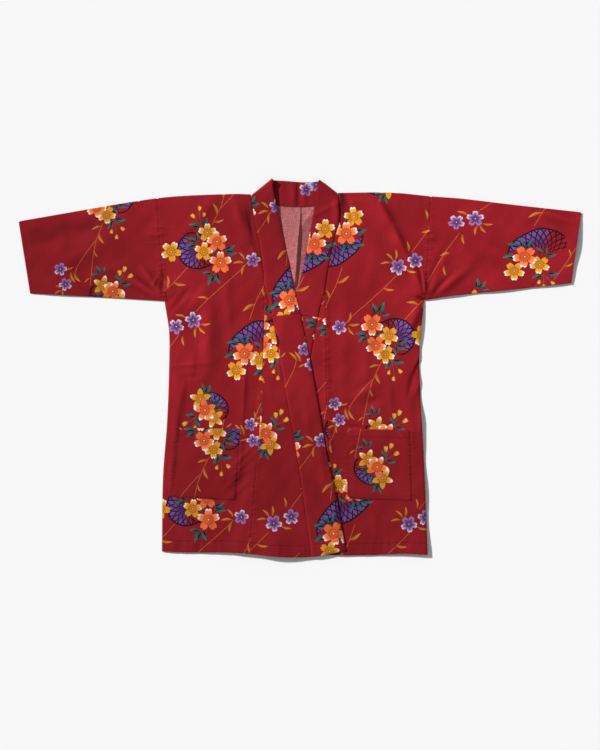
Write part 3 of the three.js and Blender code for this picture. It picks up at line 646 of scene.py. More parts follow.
def repeat_of_print():
    """One repeat, from what lies underneath to what lies on top."""
    tendrils = [
        [(-8.5, -37.6), (-0.6, -53.9), (3.4, -65.8), (10.3, -100.4)],
        [(0.4, -54.4), (12, -67), (22, -80), (25, -88)], [(-32.1, 3.9), (-47, 20.2), (-56.4, 28.1)],
        [(26.7, 0.5), (20.2, 7.4), (3.4, 22.2), (-12.4, 36.5), (-24.7, 48.9)],
        [(-40.4, 72.2), (-54.7, 91.5), (-62.9, 104.8), (-72, 120.6)],
        [(72.8, 70.9), (67.9, 83), (63.7, 93.9), (55.8, 110.9)],
        [(29, 57.3), (35.4, 39), (42.3, 25.2), (46.8, 13.8)],
        [(37.6, 155.4), (45.5, 137.6)],
    ]
    ochre = [
        (-6.5, -40.6, 3.4, -43.1), (-3.1, -48, -7.5, -59.4), (2.9, -64.8, -0.1, -72.2),
        (9.8, -92.5, 15.7, -96.4), (25.3, -85.4, 19.3, -95.4), (-52.9, 24.7, -52.9, 12.8),
        (-46.5, 20.2, -34.6, 22.2), (24.2, -2.5, 18.3, -10.4), (23.7, 0, 12.3, 0.5),
        (24.2, 1.9, 21.2, 12.3), (-11.9, 36.5, -22.8, 34.6), (-34.6, 54.8, -45.2, 52.3),
        (-19.3, 61.7, -9.4, 60.8), (-21.8, 63.7, -14.8, 71.1), (-24.2, 64.7, -24.7, 75.1),
        (-37.3, 73.3, -35.8, 83.2), (-50.2, 92.1, -60, 95), (-56.1, 104.9, -54.1, 114.8),
        (72.5, 70.3, 73.4, 63.6), (67.3, 84.2, 64.9, 77), (63.4, 95.7, 70.9, 90.9),
        (42.3, 25.2, 44.8, 34.6), (33.9, 41.5, 22.1, 48.9), (38.2, 156.4, 37.7, 149),
        (39.2, 155.9, 46.6, 153.4), (39.7, 158.4, 45.1, 161.8), (45.5, 137.6, 43.5, 128.2),
        (33.4, 176.9, 25.5, 178.3), (28.5, 173.4, 25, 162),
    ]
    teal = [
        (-22.9, -21.2, -23.8, -30.8), (-23.3, -20.2, -33.2, -25.1), (-24.3, -18.7, -35.2, -15.3),
        (-2.6, -9.3, -10, -9.3), (2.9, -12.3, 3.8, -20.2), (4.9, -12.3, 14.3, -17.2),
        (5.3, -10.8, 16.8, -9.3),
        (-8.5, 10.4, -18, 10.4), (-6, 11.4, -12.5, 22.8), (-4.6, 9.9, -0.6, 21.3), (-20.3, -36, -31.7, -38),
        (-18.8, -36, -12.9, -44.4),
    ]
    second_cluster = [
        (-3.2, -10.3, -8.3, -19.4), (-1.5, -10.3, 4.1, -20), (-6.2, -9.7, -18.3, -11.2),
        (-7.4, 1.2, -20.4, 3.9),
        (15.6, -4.2, 9.6, -11.8), (17.8, -4.8, 19.6, -12.7), (19.3, -4.2, 29, -6.7),
        (23.5, 15.5, 34.4, 12.7), (19.3, 17, 9.9, 21.8),
    ]
    third_cluster = [
        (-2.9, -16.5, -4, -26.8), (-1.6, -16.5, 4.5, -25), (1.1, -17.2, 8.7, -16.7), (8.3, -5.4, 6, -13.4),
        (9.6, -4.9, 15.6, -10.3), (9.2, -2.2, 17, -0.4), (-8.7, 6.2, -18.8, 4.9), (-7.4, 7.1, -4.2, 16.5),
        (11.4, 19.7, 14.4, 28.6), (9.9, 19.7, 5.5, 26.2), (12.9, 17.8, 20.3, 20.2),
    ]
    second, third = np.array((25, 90.9)), np.array((-11.9, 147.5))
    for (x, y), cluster in ((second, second_cluster), (third, third_cluster)):
        teal += [(x0 + x, y0 + y, x1 + x, y1 + y) for x0, y0, x1, y1 in cluster]
    buds = [
        (-19.3, -35.5, -24.7, -43, -26.6, -45.3), (-19.3, -35.5, -21.5, -50, -21.1, -52.8),
        (-19.3, -35.5, -17.4, -44, -16.7, -46.6), (45.5, 107.3, 43, 111.5, 42.5, 114.2),
        (45.5, 107.3, 46.6, 115.4, 47.3, 118.2), (45.5, 107.3, 51.8, 112.3, 54, 113.9),
        (-19.9, 154.5, -20.2, 160.4, -20.35, 163.9), (-19.9, 154.5, -23.6, 163.8, -25, 167.1),
        (-19.9, 154.5, -26.4, 158.4, -29.5, 160.1), (-72, 120.6, -74, 124, -75, 127),
    ]
    motifs = [strand(points, TENDRIL) for points in tendrils]
    motifs += [leaf(*place, OCHRE, 0.12, 0.07) for place in ochre]
    motifs += [strand([(x0, y0), (x1, y1)], STALK, 0.4) for x0, y0, x1, y1, _, _ in buds]
    motifs += [
        basket(
            0, 0,
            [(-34.2, -29.2), (-41.5, -21), (-43.2, -11), (-39.6, -1.5), (-31.5, 5.1), (-20, 6.6), (-7.1, 2)],
            [(-34.2, -29.2), (-32.6, -20), (-28.8, -16), (-22.8, -11), (-14, -3), (-7.1, 2)],
        ),
        basket(
            *second,
            [
                (-17.4, 0.6), (-14.7, -12.7), (-6.2, -22.4), (6.5, -31.5), (17.5, -33.6), (26.5, -32.1),
                (33.8, -28.5),
            ],
            [
                (-17.4, 0.6), (-13.5, -3.6), (-8.6, -6.7), (6.5, -10.9), (15.6, -10.9), (25.9, -7.9),
                (38.7, -16.7),
            ],
        ),
        basket(
            *third,
            [
                (5.6, -18.8), (10.9, -17.4), (17.6, -13.4), (22.5, -7.1), (23.9, -0.4), (22.5, 5.4),
                (19.9, 8.5), (16.7, 8.9),
            ],
            [(0.9, -8.9), (5.6, -7.1), (10.9, -4), (17.6, 0.4), (20.3, 4.9), (16.7, 8.9)],
        ),
        strand([(-33.7, -28.6), (-28.3, -30.1), (-19.4, -27.6)], BASKET, 1.6),
    ]
    motifs += [leaf(*place, TEAL, 0.19, 0.06) for place in teal]
    motifs += [leaf(x0, y0, x1, y1, TEAL, 0.24) for _, _, x0, y0, x1, y1 in buds]
    for _, _, x0, y0, x1, y1 in buds:
        root = (x0 * 0.4 + x1 * 0.6, y0 * 0.4 + y1 * 0.6)
        motifs.append(bud(*root, x1 * 2.3 - x0 * 1.3, y1 * 2.3 - y0 * 1.3))
    blossoms = [
        (32.6, -2.7, 7.4, VIOLET, 12), (-27, 57.5, 8.4, VIOLET, -8), (-44, 64, 7.9, VIOLET, 30),
        (34.7, 161.7, 6.7, VIOLET, 20), (38.4, 177.9, 6.7, VIOLET, -14), (-49.3, -11, 10.3, YELLOW, -45),
        (-13, -29.9, 9.3, YELLOW), (-16.8, -11.1, 9.5, YELLOW, 8), (-3.5, -21, 10.3, ORANGE, -6),
        (0, 0, 11.3, ORANGE), (40.2, 97.3, 9.7, YELLOW, 180), (17.4, 107.7, 10, YELLOW, 172),
        (25, 90.9, 11.7, ORANGE, 180), (-17.1, 136.3, 10.4, YELLOW, 215, True),
        (-2.5, 155.1, 10, YELLOW, 200, True), (-11.9, 147.5, 11, ORANGE, 208, True),
    ]
    return motifs + [blossom(*numbers) for numbers in blossoms]


PRINT = repeat_of_print()


def lay_print(loop, across, down, over=(1, 0), under=(0, 1), turned=False, lean=None, motifs=None):
    """The motifs that fall on a piece whose edge is loop.

    across, down is where the large orange blossom comes, in steps from the top left of the
    layout, and over, under are the print's own directions there."""
    way = -1 if turned else 1
    matrix = STEP * way * np.array([[over[0], under[0]], [-over[1], -under[1]]])
    origin = np.array(((across - LAYOUT_MIDDLE[0]) * STEP, (LAYOUT_MIDDLE[1] - down) * STEP))
    back = np.linalg.inv(matrix)
    low, high = loop.min(axis=0) - 2, loop.max(axis=0) + 2
    laid = []
    for motif in PRINT if motifs is None else motifs:
        for turn in range(-5, 6):
            shift = np.array((0, turn * REPEAT))
            placed = (motif["loop"] + shift) @ matrix.T + origin
            middle = placed.mean(axis=0)
            slide = np.array((float(lean(middle[1])) if lean else 0.0, 0))
            placed = placed + slide
            if np.any(placed.max(axis=0) < low) or np.any(placed.min(axis=0) > high):
                continue

            def local(p, motif=motif, shift=shift, slide=slide):
                return motif["local"]((p - slide - origin) @ back.T - shift)

            laid.append({"ink": motif["ink"], "loop": placed, "local": local})
    return laid


# The finish: plain-woven cotton, printed on its face, with a paler reverse.
class Wire:
    """An output of a shader node. Arithmetic on it adds a math node for each step."""

    def __init__(self, socket):
        self.socket = socket

    def __getitem__(self, output):
        return Wire(self.socket.node.outputs[output])

    def __add__(self, other):
        return calc("ADD", self, other)

    def __sub__(self, other):
        return calc("SUBTRACT", self, other)

    def __rsub__(self, other):
        return calc("SUBTRACT", other, self)

    def __mul__(self, other):
        return calc("MULTIPLY", self, other)

    def __abs__(self):
        return calc("ABSOLUTE", self)

    __radd__ = __add__
    __rmul__ = __mul__


def plug(socket, value):
    if isinstance(value, Wire):
        socket.id_data.links.new(value.socket, socket)
    else:
        socket.default_value = value


def add_node(kind, *values):
    """A new node in the tree that the wires among the values come from."""
    tree = next(value.socket.id_data for value in values if isinstance(value, Wire))
    return tree.nodes.new(kind)


def calc(operation, *values):
    node = add_node("ShaderNodeMath", *values)
    node.operation = operation
    for socket, value in zip(node.inputs, values):
        plug(socket, value)
    return Wire(node.outputs[0])


def rising(value, low, high):
    """Nothing below low, all above high and smooth between them."""
    node = add_node("ShaderNodeMapRange", value)
    node.interpolation_type = "SMOOTHSTEP"
    for label, setting in (("Value", value), ("From Min", low), ("From Max", high)):
        plug(node.inputs[label], setting)
    return Wire(node.outputs[0])


def falling(value, low, high):
    return 1 - rising(value, low, high)


def tint(share, one, other, mode="MIX"):
    node = add_node("ShaderNodeMix", share, one, other)
    node.data_type = "RGBA"
    node.blend_type = mode
    for index, setting in ((0, share), (6, one), (7, other)):
        plug(node.inputs[index], setting)
    return Wire(node.outputs[2])


def dye(code):
    """A colour given as a six-digit code, as the shaders count it."""
    parts = [int(code[i : i + 2], 16) / 255 for i in (0, 2, 4)]
    return [c / 12.92 if c <= 0.04045 else ((c + 0.055) / 1.055) ** 2.4 for c in parts] + [1]


def new_group(name, inputs, outputs):
    """A node group, with the kind of each socket by its label."""
    tree = bpy.data.node_groups.new(name, "ShaderNodeTree")
    for way, sockets in (("INPUT", inputs), ("OUTPUT", outputs)):
        for label, kind in sockets.items():
            tree.interface.new_socket(label, in_out=way, socket_type="NodeSocket" + kind)
    given = Wire(tree.nodes.new("NodeGroupInput").outputs[0])
    return tree, given, tree.nodes.new("NodeGroupOutput").inputs


def use_group(group, **values):
    node = add_node("ShaderNodeGroup", *values.values())
    node.node_tree = group
    for label, value in values.items():
        plug(node.inputs[label], value)
    return Wire(node.outputs[0])


def split(vector):
    node = add_node("ShaderNodeSeparateXYZ", vector)
    plug(node.inputs[0], vector)
    return [Wire(socket) for socket in node.outputs]


def noise(vector, scale, detail):
    node = add_node("ShaderNodeTexNoise", vector)
    for label, setting in (("Vector", vector), ("Scale", scale), ("Detail", detail)):
        plug(node.inputs[label], setting)
    return Wire(node.outputs["Fac"])


def streaks(vector, across, down, detail=3.0):
    """Noise drawn out along the cloth, with so many streaks to a metre each way."""
    node = add_node("ShaderNodeVectorMath", vector)
    node.operation = "MULTIPLY"
    plug(node.inputs[0], vector)
    plug(node.inputs[1], (across, down, 1))
    return noise(Wire(node.outputs[0]), 1.0, detail)


def petal_group():
    """Colours of a printed blossom from its own round coordinates."""
    kinds = {"Place": "Vector", "Deep": "Color", "Main": "Color", "Light": "Color"}
    kinds.update({"Tip": "Float", "Vein": "Float", "Ring": "Float"})
    tree, given, out = new_group("printed_blossom", kinds, {"Color": "Color"})
    x, y, _ = split(given["Place"])
    reach = calc("SQRT", x * x + y * y)
    turn = calc("ARCTAN2", x, y) * (5 / (2 * math.pi))
    petal = calc("ROUND", turn)
    aside = abs((turn - petal) * 2.0)
    upper = calc("LESS_THAN", abs(petal), 1.5)
    body = tint(rising(reach, 0.15, 0.7), given["Deep"], given["Main"])
    body = tint(rising(reach, 0.3, 0.9) * (upper * 0.75 + 0.12), body, given["Light"])
    streak = falling(aside, 0.12, 0.5) * falling(reach, 0.55, 0.9)
    body = tint(streak * given["Vein"], body, given["Deep"])
    tip = upper * given["Tip"] * rising(reach - aside * 0.05, 0.75, 0.91)
    body = tint(tip, body, dye("fbf1e8"))
    gap = rising(aside, 0.86, 1.0) * rising(reach, 0.25, 0.5)
    body = tint(gap * 0.45, body, dye("7a3428"))
    ring = falling(abs(reach - 0.4), 0.04, 0.095)
    dots = rising(calc("SINE", turn * (2 * math.pi * 3)), -0.3, 0.5)
    body = tint(ring * dots * given["Ring"], body, dye("6b2a1c"))
    body = tint(falling(reach, 0.12, 0.2) * (given["Ring"] * 0.75), body, dye("8a4020"))
    plug(out["Color"], tint(falling(reach, 0.04, 0.085), body, dye("ecd0ac")))
    return tree


def leaf_group():
    """Colours of a printed leaf: dark towards the stalk on one half, with a pale midrib."""
    kinds = {"Place": "Vector", "Dark": "Color", "Main": "Color", "Rib": "Color"}
    tree, given, out = new_group("printed_leaf", kinds, {"Color": "Color"})
    along, aside, _ = split(given["Place"])
    body = tint(falling(along + aside * 0.35, 0.2, 0.62), given["Main"], given["Dark"])
    plug(out["Color"], tint(falling(abs(aside), 0.04, 0.16) * 0.7, body, given["Rib"]))
    return tree


def basket_group():
    """Colours of printed basketwork: dark canes crossing over violet, and a heavy rim."""
    tree, given, out = new_group("printed_basket", {"Place": "Vector", "Cloth": "Color"}, {"Color": "Color"})
    along, from_rim, _ = split(given["Place"])
    fade = calc("MAXIMUM", rising(along, -2.6, -0.9), falling(from_rim, -2.1, -1.3) * 0.7)
    body = tint(rising(from_rim, -1.6, -0.2), dye("59316c"), dye("7c4c94"))
    body = tint(fade, body, given["Cloth"])
    canes = [
        falling(abs(calc("FRACT", along * 1.4 + from_rim * way) - 0.5), 0.08, 0.15) for way in (1.0, -1.0)
    ]
    dark = calc("MAXIMUM", calc("MAXIMUM", *canes), rising(from_rim, -0.19, -0.13))
    plug(out["Color"], tint(dark * 0.97, body, dye("120c12")))
    return tree


def weave_group():
    """Plain weave: a height and a slight change of shade, from the cloth's own coordinates."""
    kinds = {"Place": "Vector", "Pitch": "Float"}
    tree, given, out = new_group("plain_weave", kinds, {"Height": "Float", "Shade": "Float"})
    x, y, _ = split(given["Place"])
    over, along = (calc("DIVIDE", at * math.pi, given["Pitch"]) for at in (x, y))
    height = (abs(calc("SINE", over)) + abs(calc("SINE", along))) * 0.35
    height = height + calc("COSINE", over) * calc("COSINE", along) * 0.3
    slub = streaks(given["Place"], 900, 90)
    plug(out["Height"], height + slub * 0.5)
    plug(out["Shade"], height * 0.25 + slub * 0.75)
    return tree


petals, leaves, basketwork, weave = petal_group(), leaf_group(), basket_group(), weave_group()

# Deep, main and light dye, and how much of white tips, veins and rings of stamens shows.
BLOSSOM_DYES = {
    ORANGE: ("d9552a", "ea6a34", "fb9a62", 1.0, 0.15, 0.75),
    YELLOW: ("cb7c1c", "dd9626", "f3b54c", 1.0, 0.3, 0.85),
    VIOLET: ("582f66", "9069a6", "c9b3da", 0.55, 0.85, 0.3),
}
# Dark and main dye, and the dye of the midrib.
LEAF_DYES = {
    TEAL: ("0e181b", "285e5e", "54877f"),
    OCHRE: ("a04f1a", "c07624", "da963f"),
    BUD: ("c4761b", "eaa53a", "f4c466"),
}
LINE_DYES = {TENDRIL: "c0662a", STALK: "5d5a4a"}
SHADOW_DEPTH = {HOLLOW_SHADOW: 0.86, SHADED: 0.3}  # how dark the painted shadow along the seam's allowance and the painted shade over its fold are, inside
THREAD_PITCH = 0.00055


def attribute(tree, name, output="Fac"):
    node = tree.nodes.new("ShaderNodeAttribute")
    node.attribute_name = name
    return Wire(node.outputs[output])


def raise_bump(height, strength, distance):
    node = add_node("ShaderNodeBump", height)
    for label, setting in (("Strength", strength), ("Distance", distance), ("Height", height)):
        plug(node.inputs[label], setting)
    return node


def cotton(name, reverse):
    material = bpy.data.materials.new(name)
    material.use_nodes = True
    tree = material.node_tree
    uv = tree.nodes.new("ShaderNodeUVMap")
    uv.uv_map = "cloth"
    cloth_at = Wire(uv.outputs[0])
    print_at = attribute(tree, "print_at", "Vector")
    ink = split(print_at)[2]
    red = tint(rising(noise(cloth_at, 9.0, 3.0), 0.3, 0.7), dye("89151e"), dye("951a23"))
    inks = {BASKET: use_group(basketwork, Place=print_at, Cloth=red)}
    for number, (deep, main, light, tip, vein, ring) in BLOSSOM_DYES.items():
        dyes = {"Deep": dye(deep), "Main": dye(main), "Light": dye(light)}
        inks[number] = use_group(petals, Place=print_at, Tip=tip, Vein=vein, Ring=ring, **dyes)
    for number, (dark, main, rib) in LEAF_DYES.items():
        inks[number] = use_group(leaves, Place=print_at, Dark=dye(dark), Main=dye(main), Rib=dye(rib))
    for number, colour in LINE_DYES.items():
        inks[number] = dye(colour)
    body = red
    for number, colour in inks.items():
        body = tint(calc("COMPARE", ink, number, 0.4), body, colour)
    if reverse:
        # The print shows through to the back of the cloth only faintly.
        thin = (streaks(cloth_at, 700, 75) + streaks(cloth_at, 75, 560)) * 0.5
        body = tint(0.9, body, tint(rising(thin, 0.3, 0.7), dye("a34b4e"), dye("db8d8c")))
        # Painted shadow along the seam's allowance and painted shade over its fold, inside the neck.
        for number, depth in SHADOW_DEPTH.items():
            body = tint(calc("COMPARE", ink, number, 0.4) * depth, body, dye("4a1c1e"))

    # Shade: grain, painted shade of pinches and creases, darker seams, and a painted falloff of light over
    # it all.
    threads = use_group(weave, Place=cloth_at, Pitch=THREAD_PITCH)
    pinch = (streaks(cloth_at, 34, 190, 1.0) - 0.5) * attribute(tree, "gathered")
    x, y, _ = split(Wire(tree.nodes.new("ShaderNodeTexCoord").outputs["Object"]))
    from_collar = calc("SQRT", calc("POWER", x + 0.09, 2.0) + calc("POWER", y - 0.37, 2.0))
    # Painted falloff of light: darker towards the hem, the right sleeve and beside the collar at the right
    # of the neck, a little lighter towards the left sleeve.
    painted_falloff = 0.98 - falling(y, -0.3, 0.1) * 0.27 - rising(x * -1.0, 0.28, 0.5) * 0.25
    painted_falloff = painted_falloff - falling(from_collar, 0.04, 0.2) * 0.2 + rising(x, 0.1, 0.45) * 0.05
    shade = threads["Shade"] * 0.3 + 0.8 + streaks(cloth_at, 330, 12) * 0.2
    # The pinches are bumped below, and their shade is painted into the colour here as well.
    shade = shade + noise(cloth_at, 380.0, 2.0) * 0.75 - 0.375 + pinch * 0.35
    # Darker along seams, edges and stitching, with painted shade in creases, tucks and along the band's
    # folded edge.
    shade = shade * painted_falloff * (1 - attribute(tree, "pressed_and_shaded") * 0.55)
    grey = add_node("ShaderNodeCombineColor", shade)
    for socket in grey.inputs:
        plug(socket, shade)
    body = tint(1.0, body, Wire(grey.outputs[0]), "MULTIPLY")

    weave_bump = raise_bump(threads["Height"], 0.35, 0.00015)
    gather_bump = raise_bump(pinch, 1.0, 0.0016)
    plug(gather_bump.inputs["Normal"], Wire(weave_bump.outputs[0]))
    shader = tree.nodes["Principled BSDF"].inputs
    plug(shader["Base Color"], body)
    plug(shader["Roughness"], 0.82)
    plug(shader["Specular IOR Level"], 0.08)
    plug(shader["Sheen Weight"], 0.04)
    plug(shader["Sheen Roughness"], 0.5)
    plug(shader["Normal"], Wire(gather_bump.outputs[0]))
    return material


cotton_face = cotton("printed_cotton_face", False)
cotton_back = cotton("printed_cotton_back", True)

# Painted shade along deep tucks, darker along a line: from one point to another, how dark and the half
# width.
TUCK_SHADES = [
    (98, 412, 101, 366, 1.5, 5.5), (101, 366, 96, 335, 0.4, 3.5), (-128, 372, -117, 300, 0.16, 6),
    (-117, 300, -101, 252, 0.2, 5), (-127, 372, -113, 292, 0.55, 2), (-113, 292, -98, 250, 0.5, 2),
    (-313, 156, -322, 196, 0.8, 2.5), (-322, 209, -334, 230, 0.7, 2.5), (-311, 157, -296, 176, 0.5, 4),
    (293, 158, 298, 196, 0.8, 2.5), (291, 159, 276, 168, 0.6, 3), (-6.5, 436, -8, 384, 1.0, 3.4),
    (3, 436, 3, 384, -0.2, 4), (15, 436, 17, 384, 0.3, 3), (-127, 25, -135, -146, 0.35, 1.8),
    (-135, -146, -144, -263, 0.3, 1.8),
]
NARROW = 7.5  # creases and tucks thinner than this have the mesh follow them


def crease_rows():
    """Rows of points along and beside each narrow crease or tuck, for the mesh to follow."""
    rows = []
    for x0, y0, x1, y1, _, width, *_ in CREASES + TUCK_SHADES:
        if width < NARROW:
            length = math.hypot(x1 - x0, y1 - y0)
            aside = np.array((-(y1 - y0), x1 - x0)) / length
            at = np.linspace(0, 1, int(length / 3.4) + 2)[:, None]
            middle = np.array((x0, y0)) + at * np.array((x1 - x0, y1 - y0))
            rows += [middle + aside * width * share for share in (-1.1, -0.5, 0, 0.5, 1.1)]
    return rows


CREASE_ROWS = crease_rows()
# Wider, lower copies of the creases, used only to paint shade and light beside them.
WIDER_CREASES = [
    (x0, y0, x1, y1, 0.75 * height, 1.6 * width) for x0, y0, x1, y1, height, width, *_ in CREASES
]


def hem_rows(side):
    """Rows of points along the hem's row of stitching."""
    x = np.linspace(*sorted((float(side_seam[side](-430)), float(free_edge[side](-430)))), 140)
    return [np.column_stack((x, hem[side](x) + HEM_DEPTH + step)) for step in (-2.2, -0.9, 0.0, 0.9, 2.2)]


def painted_crease_shade(x, y):
    """Painted shade beside the creases' ridges and in their troughs, painted light on their ridge tops, and
    painted shade along deep tucks.
    """
    beside = 0.95 * (ridges(x, y, WIDER_CREASES, 0.25, 0) - ridges(x, y, CREASES, 0.25, 0))
    return np.clip(beside, -0.35, 0.8) + ridges(x, y, TUCK_SHADES, 0.75, 0.1)


# The corners of the patch pockets: the two ends of the mouth and the two at the foot.
POCKET = {
    "right": ((-286, -140), (-141, -143), (-151, -311.5), (-304, -303)),
    "left": ((110, -142), (257, -146.5), (263, -313), (111.5, -307)),
}

# Seams that gather the cloth on both their sides.
GATHERS = [
    stretch(okumi_seam["left"], 184, -436, False),
    stretch(okumi_seam["right"], 196, -436, False),
    stretch(side_seam["left"], 400, 160, False),
    stretch(side_seam["right"], 400, 160, False),
]
for a, b, c, d in POCKET.values():
    GATHERS += [np.array((a, d), float), np.array((b, c), float)]
GATHER_REACH = 9.0


def make_cloth(flat_loop, motifs, place, wall=SHELL, edge=0.4, folds=(), stitch_and_shade_rows=(), seam=0.35):
    """Cuts a sheet, brings it into place and rounds its edges. place(x, v) gives points in mm.

    Seams and rows of stitching press the cloth, which is darker along them and along all the sheet's edges;
    a row can also be a line of painted shade along a folded edge, and creases and tucks get painted shade."""
    flat, triangles, area = cut_cloth(flat_loop, motifs, folds)
    outer = place(flat[:, 0], flat[:, 1])
    in_from_edge = from_lines(*flat.T, [np.vstack((flat_loop, flat_loop[:1]))])
    outer = outer - surface_normals(outer, triangles) * (edge * bell(in_from_edge, 1.3))[:, None]
    pressed_and_shaded = seam * bell(in_from_edge, 0.9)
    for row in stitch_and_shade_rows:
        pressed_and_shaded = np.maximum(pressed_and_shaded, 0.8 * bell(from_lines(*flat.T, [row]), 0.9))
    upward = surface_normals(outer, triangles)[:, 2] > 0.2
    # Painted shade in creases and tucks, on the faces that look up.
    pressed_and_shaded += np.where(upward, painted_crease_shade(outer[:, 0], outer[:, 1]), 0)
    from_seam = from_lines(*outer[:, :2].T, GATHERS)
    gathered = np.where(upward, bell(from_seam, GATHER_REACH), 0)
    places = print_places(flat, triangles, motifs)
    return (flat, triangles, outer, places, wall, pressed_and_shaded, gathered), area * 1e-6


def fold_rows(side, start, end):
    """Rows of points round the fold, a quarter of the turn apart."""
    x = np.linspace(start, end, int(abs(end - start) / EDGE_STEP) + 1)
    return [np.column_stack((x, fold_line(side, x) + TURN * share)) for share in (0, 0.25, 0.5, 0.75, 1)]


def body_cut(side):
    """The edge of a body length laid out flat: front hem, side, back hem, middle, neck, front."""
    sign = SIGN[side]
    neck_x, neck_y = NECK[side]
    fold = float(fold_line(side, float(side_seam[side](403))))
    rise = np.linspace(float(hem[side](side_seam[side](-434))), fold, 62)
    outer_x = side_seam[side](rise) - sign * STITCHED / 2
    drop = neck_y - NECK_BACK[1] + NECK_GAP
    inner_rise = np.linspace(neck_y - ROLL, float(hem[side](okumi_seam[side](-436))), 64)
    above_okumi = inner_rise > OKUMI_TOP[side]
    seam = np.where(above_okumi, collar_seam[side](inner_rise), okumi_seam[side](inner_rise))
    front_inner = np.column_stack((seam + sign * STITCHED / 2, inner_rise))
    front_side = np.column_stack((outer_x, rise))
    back_side = np.column_stack((outer_x, behind(side, outer_x, rise)))[::-1]
    angle = np.linspace(math.pi / 2, 0.12, 12)
    neck_depth = np.sin(angle) * drop
    neck_x_at = NECK_BACK[0] + (neck_x - NECK_BACK[0]) * np.cos(angle) + 2 * sign * SEAM
    neck_line = np.column_stack((neck_x_at, behind(side, neck_x_at, neck_y - neck_depth)))
    middle_y = np.linspace(float(hem["back"](back_seam(-438))), neck_y - drop - 2, 50)
    middle_x = back_seam(middle_y) + sign * STITCHED / 2
    back_middle = np.column_stack((middle_x, behind(side, middle_x, middle_y)))
    hem_x = np.linspace(front_inner[-1, 0], outer_x[0], 20)[1:-1]
    front_hem = np.column_stack((hem_x, hem[side](hem_x)))
    hem_x = np.linspace(outer_x[0], middle_x[0], 24)[1:-1]
    back_hem = np.column_stack((hem_x, behind(side, hem_x, hem["back"](hem_x))))
    back_side[-1, 1] = behind(side, outer_x[0], hem["back"](outer_x[0]))
    return np.concatenate((front_hem, front_side, back_side, back_hem, back_middle, neck_line, front_inner))


def pull_together(side, points):
    """Front and back come to each other at the side seam."""
    x, y, z = points.T
    near = bell(x - side_seam[side](y), 2.6) * ease((165 - y) / 12)
    middle = lift(x, y) + ROLL
    points[:, 2] = z + near * np.where(z > middle, -0.75, 0.4)
    return points


lean = {
    "right": lambda y: okumi_seam["right"](np.minimum(y, 122.0)) + 84,
    "left": lambda y: okumi_seam["left"](np.minimum(y, 184.0)) - 61,
}
BODY_PRINT = {"right": (220.7, 262.7, False), "left": (372.3, 324.6, True)}

# Inside, under the neck, painted shadow lies along the seam's allowance, turned to one side, and painted
# shade over a fold that slants from it.
ALLOWANCE_SHADOW = [
    (1.2, 377), (2.8, 377), (4.6, 333), (5.6, 312), (2.2, 255), (-4.2, 199), (-9, 186), (-13, 192),
    (-9, 245), (-5, 300), (-2, 330), (0.6, 352),
]
SLANT_SHADE = [
    (33, 371), (4.6, 333), (5.4, 312), (1.7, 255), (-4.8, 200), (8, 199), (34, 262), (44, 330), (48, 366),
]


def on_the_back(side, outline, ink):
    """A shape drawn where it is seen from above on the back, as a motif of the laid out cloth."""
    x, y = np.array(outline, float).T
    return {
        "ink": ink,
        "loop": np.column_stack((x, behind(side, x, y))),
        "local": lambda p: p * 0.01,
    }


for side in ("right", "left"):
    loop = body_cut(side)
    across, down, turned = BODY_PRINT[side]
    motifs = lay_print(loop, across, down, turned=turned, lean=lean[side])
    # Painted shade over the slanting fold and painted shadow along the seam's allowance.
    motifs += [on_the_back(side, SLANT_SHADE, SHADED), on_the_back(side, ALLOWANCE_SHADOW, HOLLOW_SHADOW)]
    rows = fold_rows(side, NECK[side][0], float(side_seam[side](403))) + hem_rows(side) + CREASE_ROWS
    place = lambda x, v: pull_together(side, over_the_fold(side, x, v))
    sheet, area = make_cloth(loop, motifs, place, folds=rows, stitch_and_shade_rows=hem_rows(side)[2:3], seam=0.2)
    body = sew_shell([sheet], "body_length_" + side, [cotton_face, cotton_back])
    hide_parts("body_" + side)


# ------------------------------------------------------------------ the sleeves
# Straight lengths of the same cotton, folded along the top, sewn along the bottom and set
# into the armhole. The cuff is an open end with a narrow turned edge.

def sleeve_cut(side):
    sign = SIGN[side]
    foot = lambda x: sleeve_foot[side](x) + ROLL
    top = lambda x: fold_line(side, x)
    quarter = ROLL * math.pi / 2
    armhole = lambda y: side_seam[side](y) + sign * STITCHED / 2
    arm_y = np.linspace(float(foot(armhole(158))), float(top(armhole(400))), 18)
    cuff_y = np.linspace(float(foot(cuff[side](188))), float(top(cuff[side](355))), 14)
    foot_x = np.linspace(float(armhole(arm_y[0])), float(cuff[side](cuff_y[0])), 26)
    front_foot = np.column_stack((foot_x, foot(foot_x) - quarter))
    back_foot = np.column_stack((foot_x, behind(side, foot_x, foot(foot_x)) + quarter))[::-1]
    edges = []
    for line, y in ((cuff[side], cuff_y), (armhole, arm_y)):
        x = line(y)
        front = np.column_stack((x, y))
        back = np.column_stack((x, behind(side, x, y)))[::-1]
        edges.append(np.concatenate((front, back)))
    return np.concatenate((front_foot, edges[0], back_foot, edges[1][::-1]))


def sleeve_place(side, x, v):
    """As over_the_fold, and rolled in to the seam along the bottom."""
    foot = sleeve_foot[side](x) + ROLL
    far = behind(side, x, foot)
    points = over_the_fold(side, x, np.clip(v, foot, far))
    beyond = np.maximum(foot - v, v - far)
    low = beyond > 0
    angle = beyond[low] / ROLL
    up = np.where(v[low] < foot[low], 1, -1)
    points[low, 1] = foot[low] - ROLL * np.sin(angle)
    points[low, 2] = lift(x[low], foot[low]) + ROLL * (1 + up * np.cos(angle))
    return points


SLEEVE_PRINT = {
    "right": (91.5, 188, (0.985, -0.14), (0.09, 0.96), True),
    "left": (512.6, 169.5, (1.05, 0.14), (-0.154, 0.922), False),
}

# On the left sleeve one tendril hangs straighter than the print around it, and the cluster at
# the foot lies some steps lower.
TENDRIL_AT = (500, 161)
SUNKEN = 7


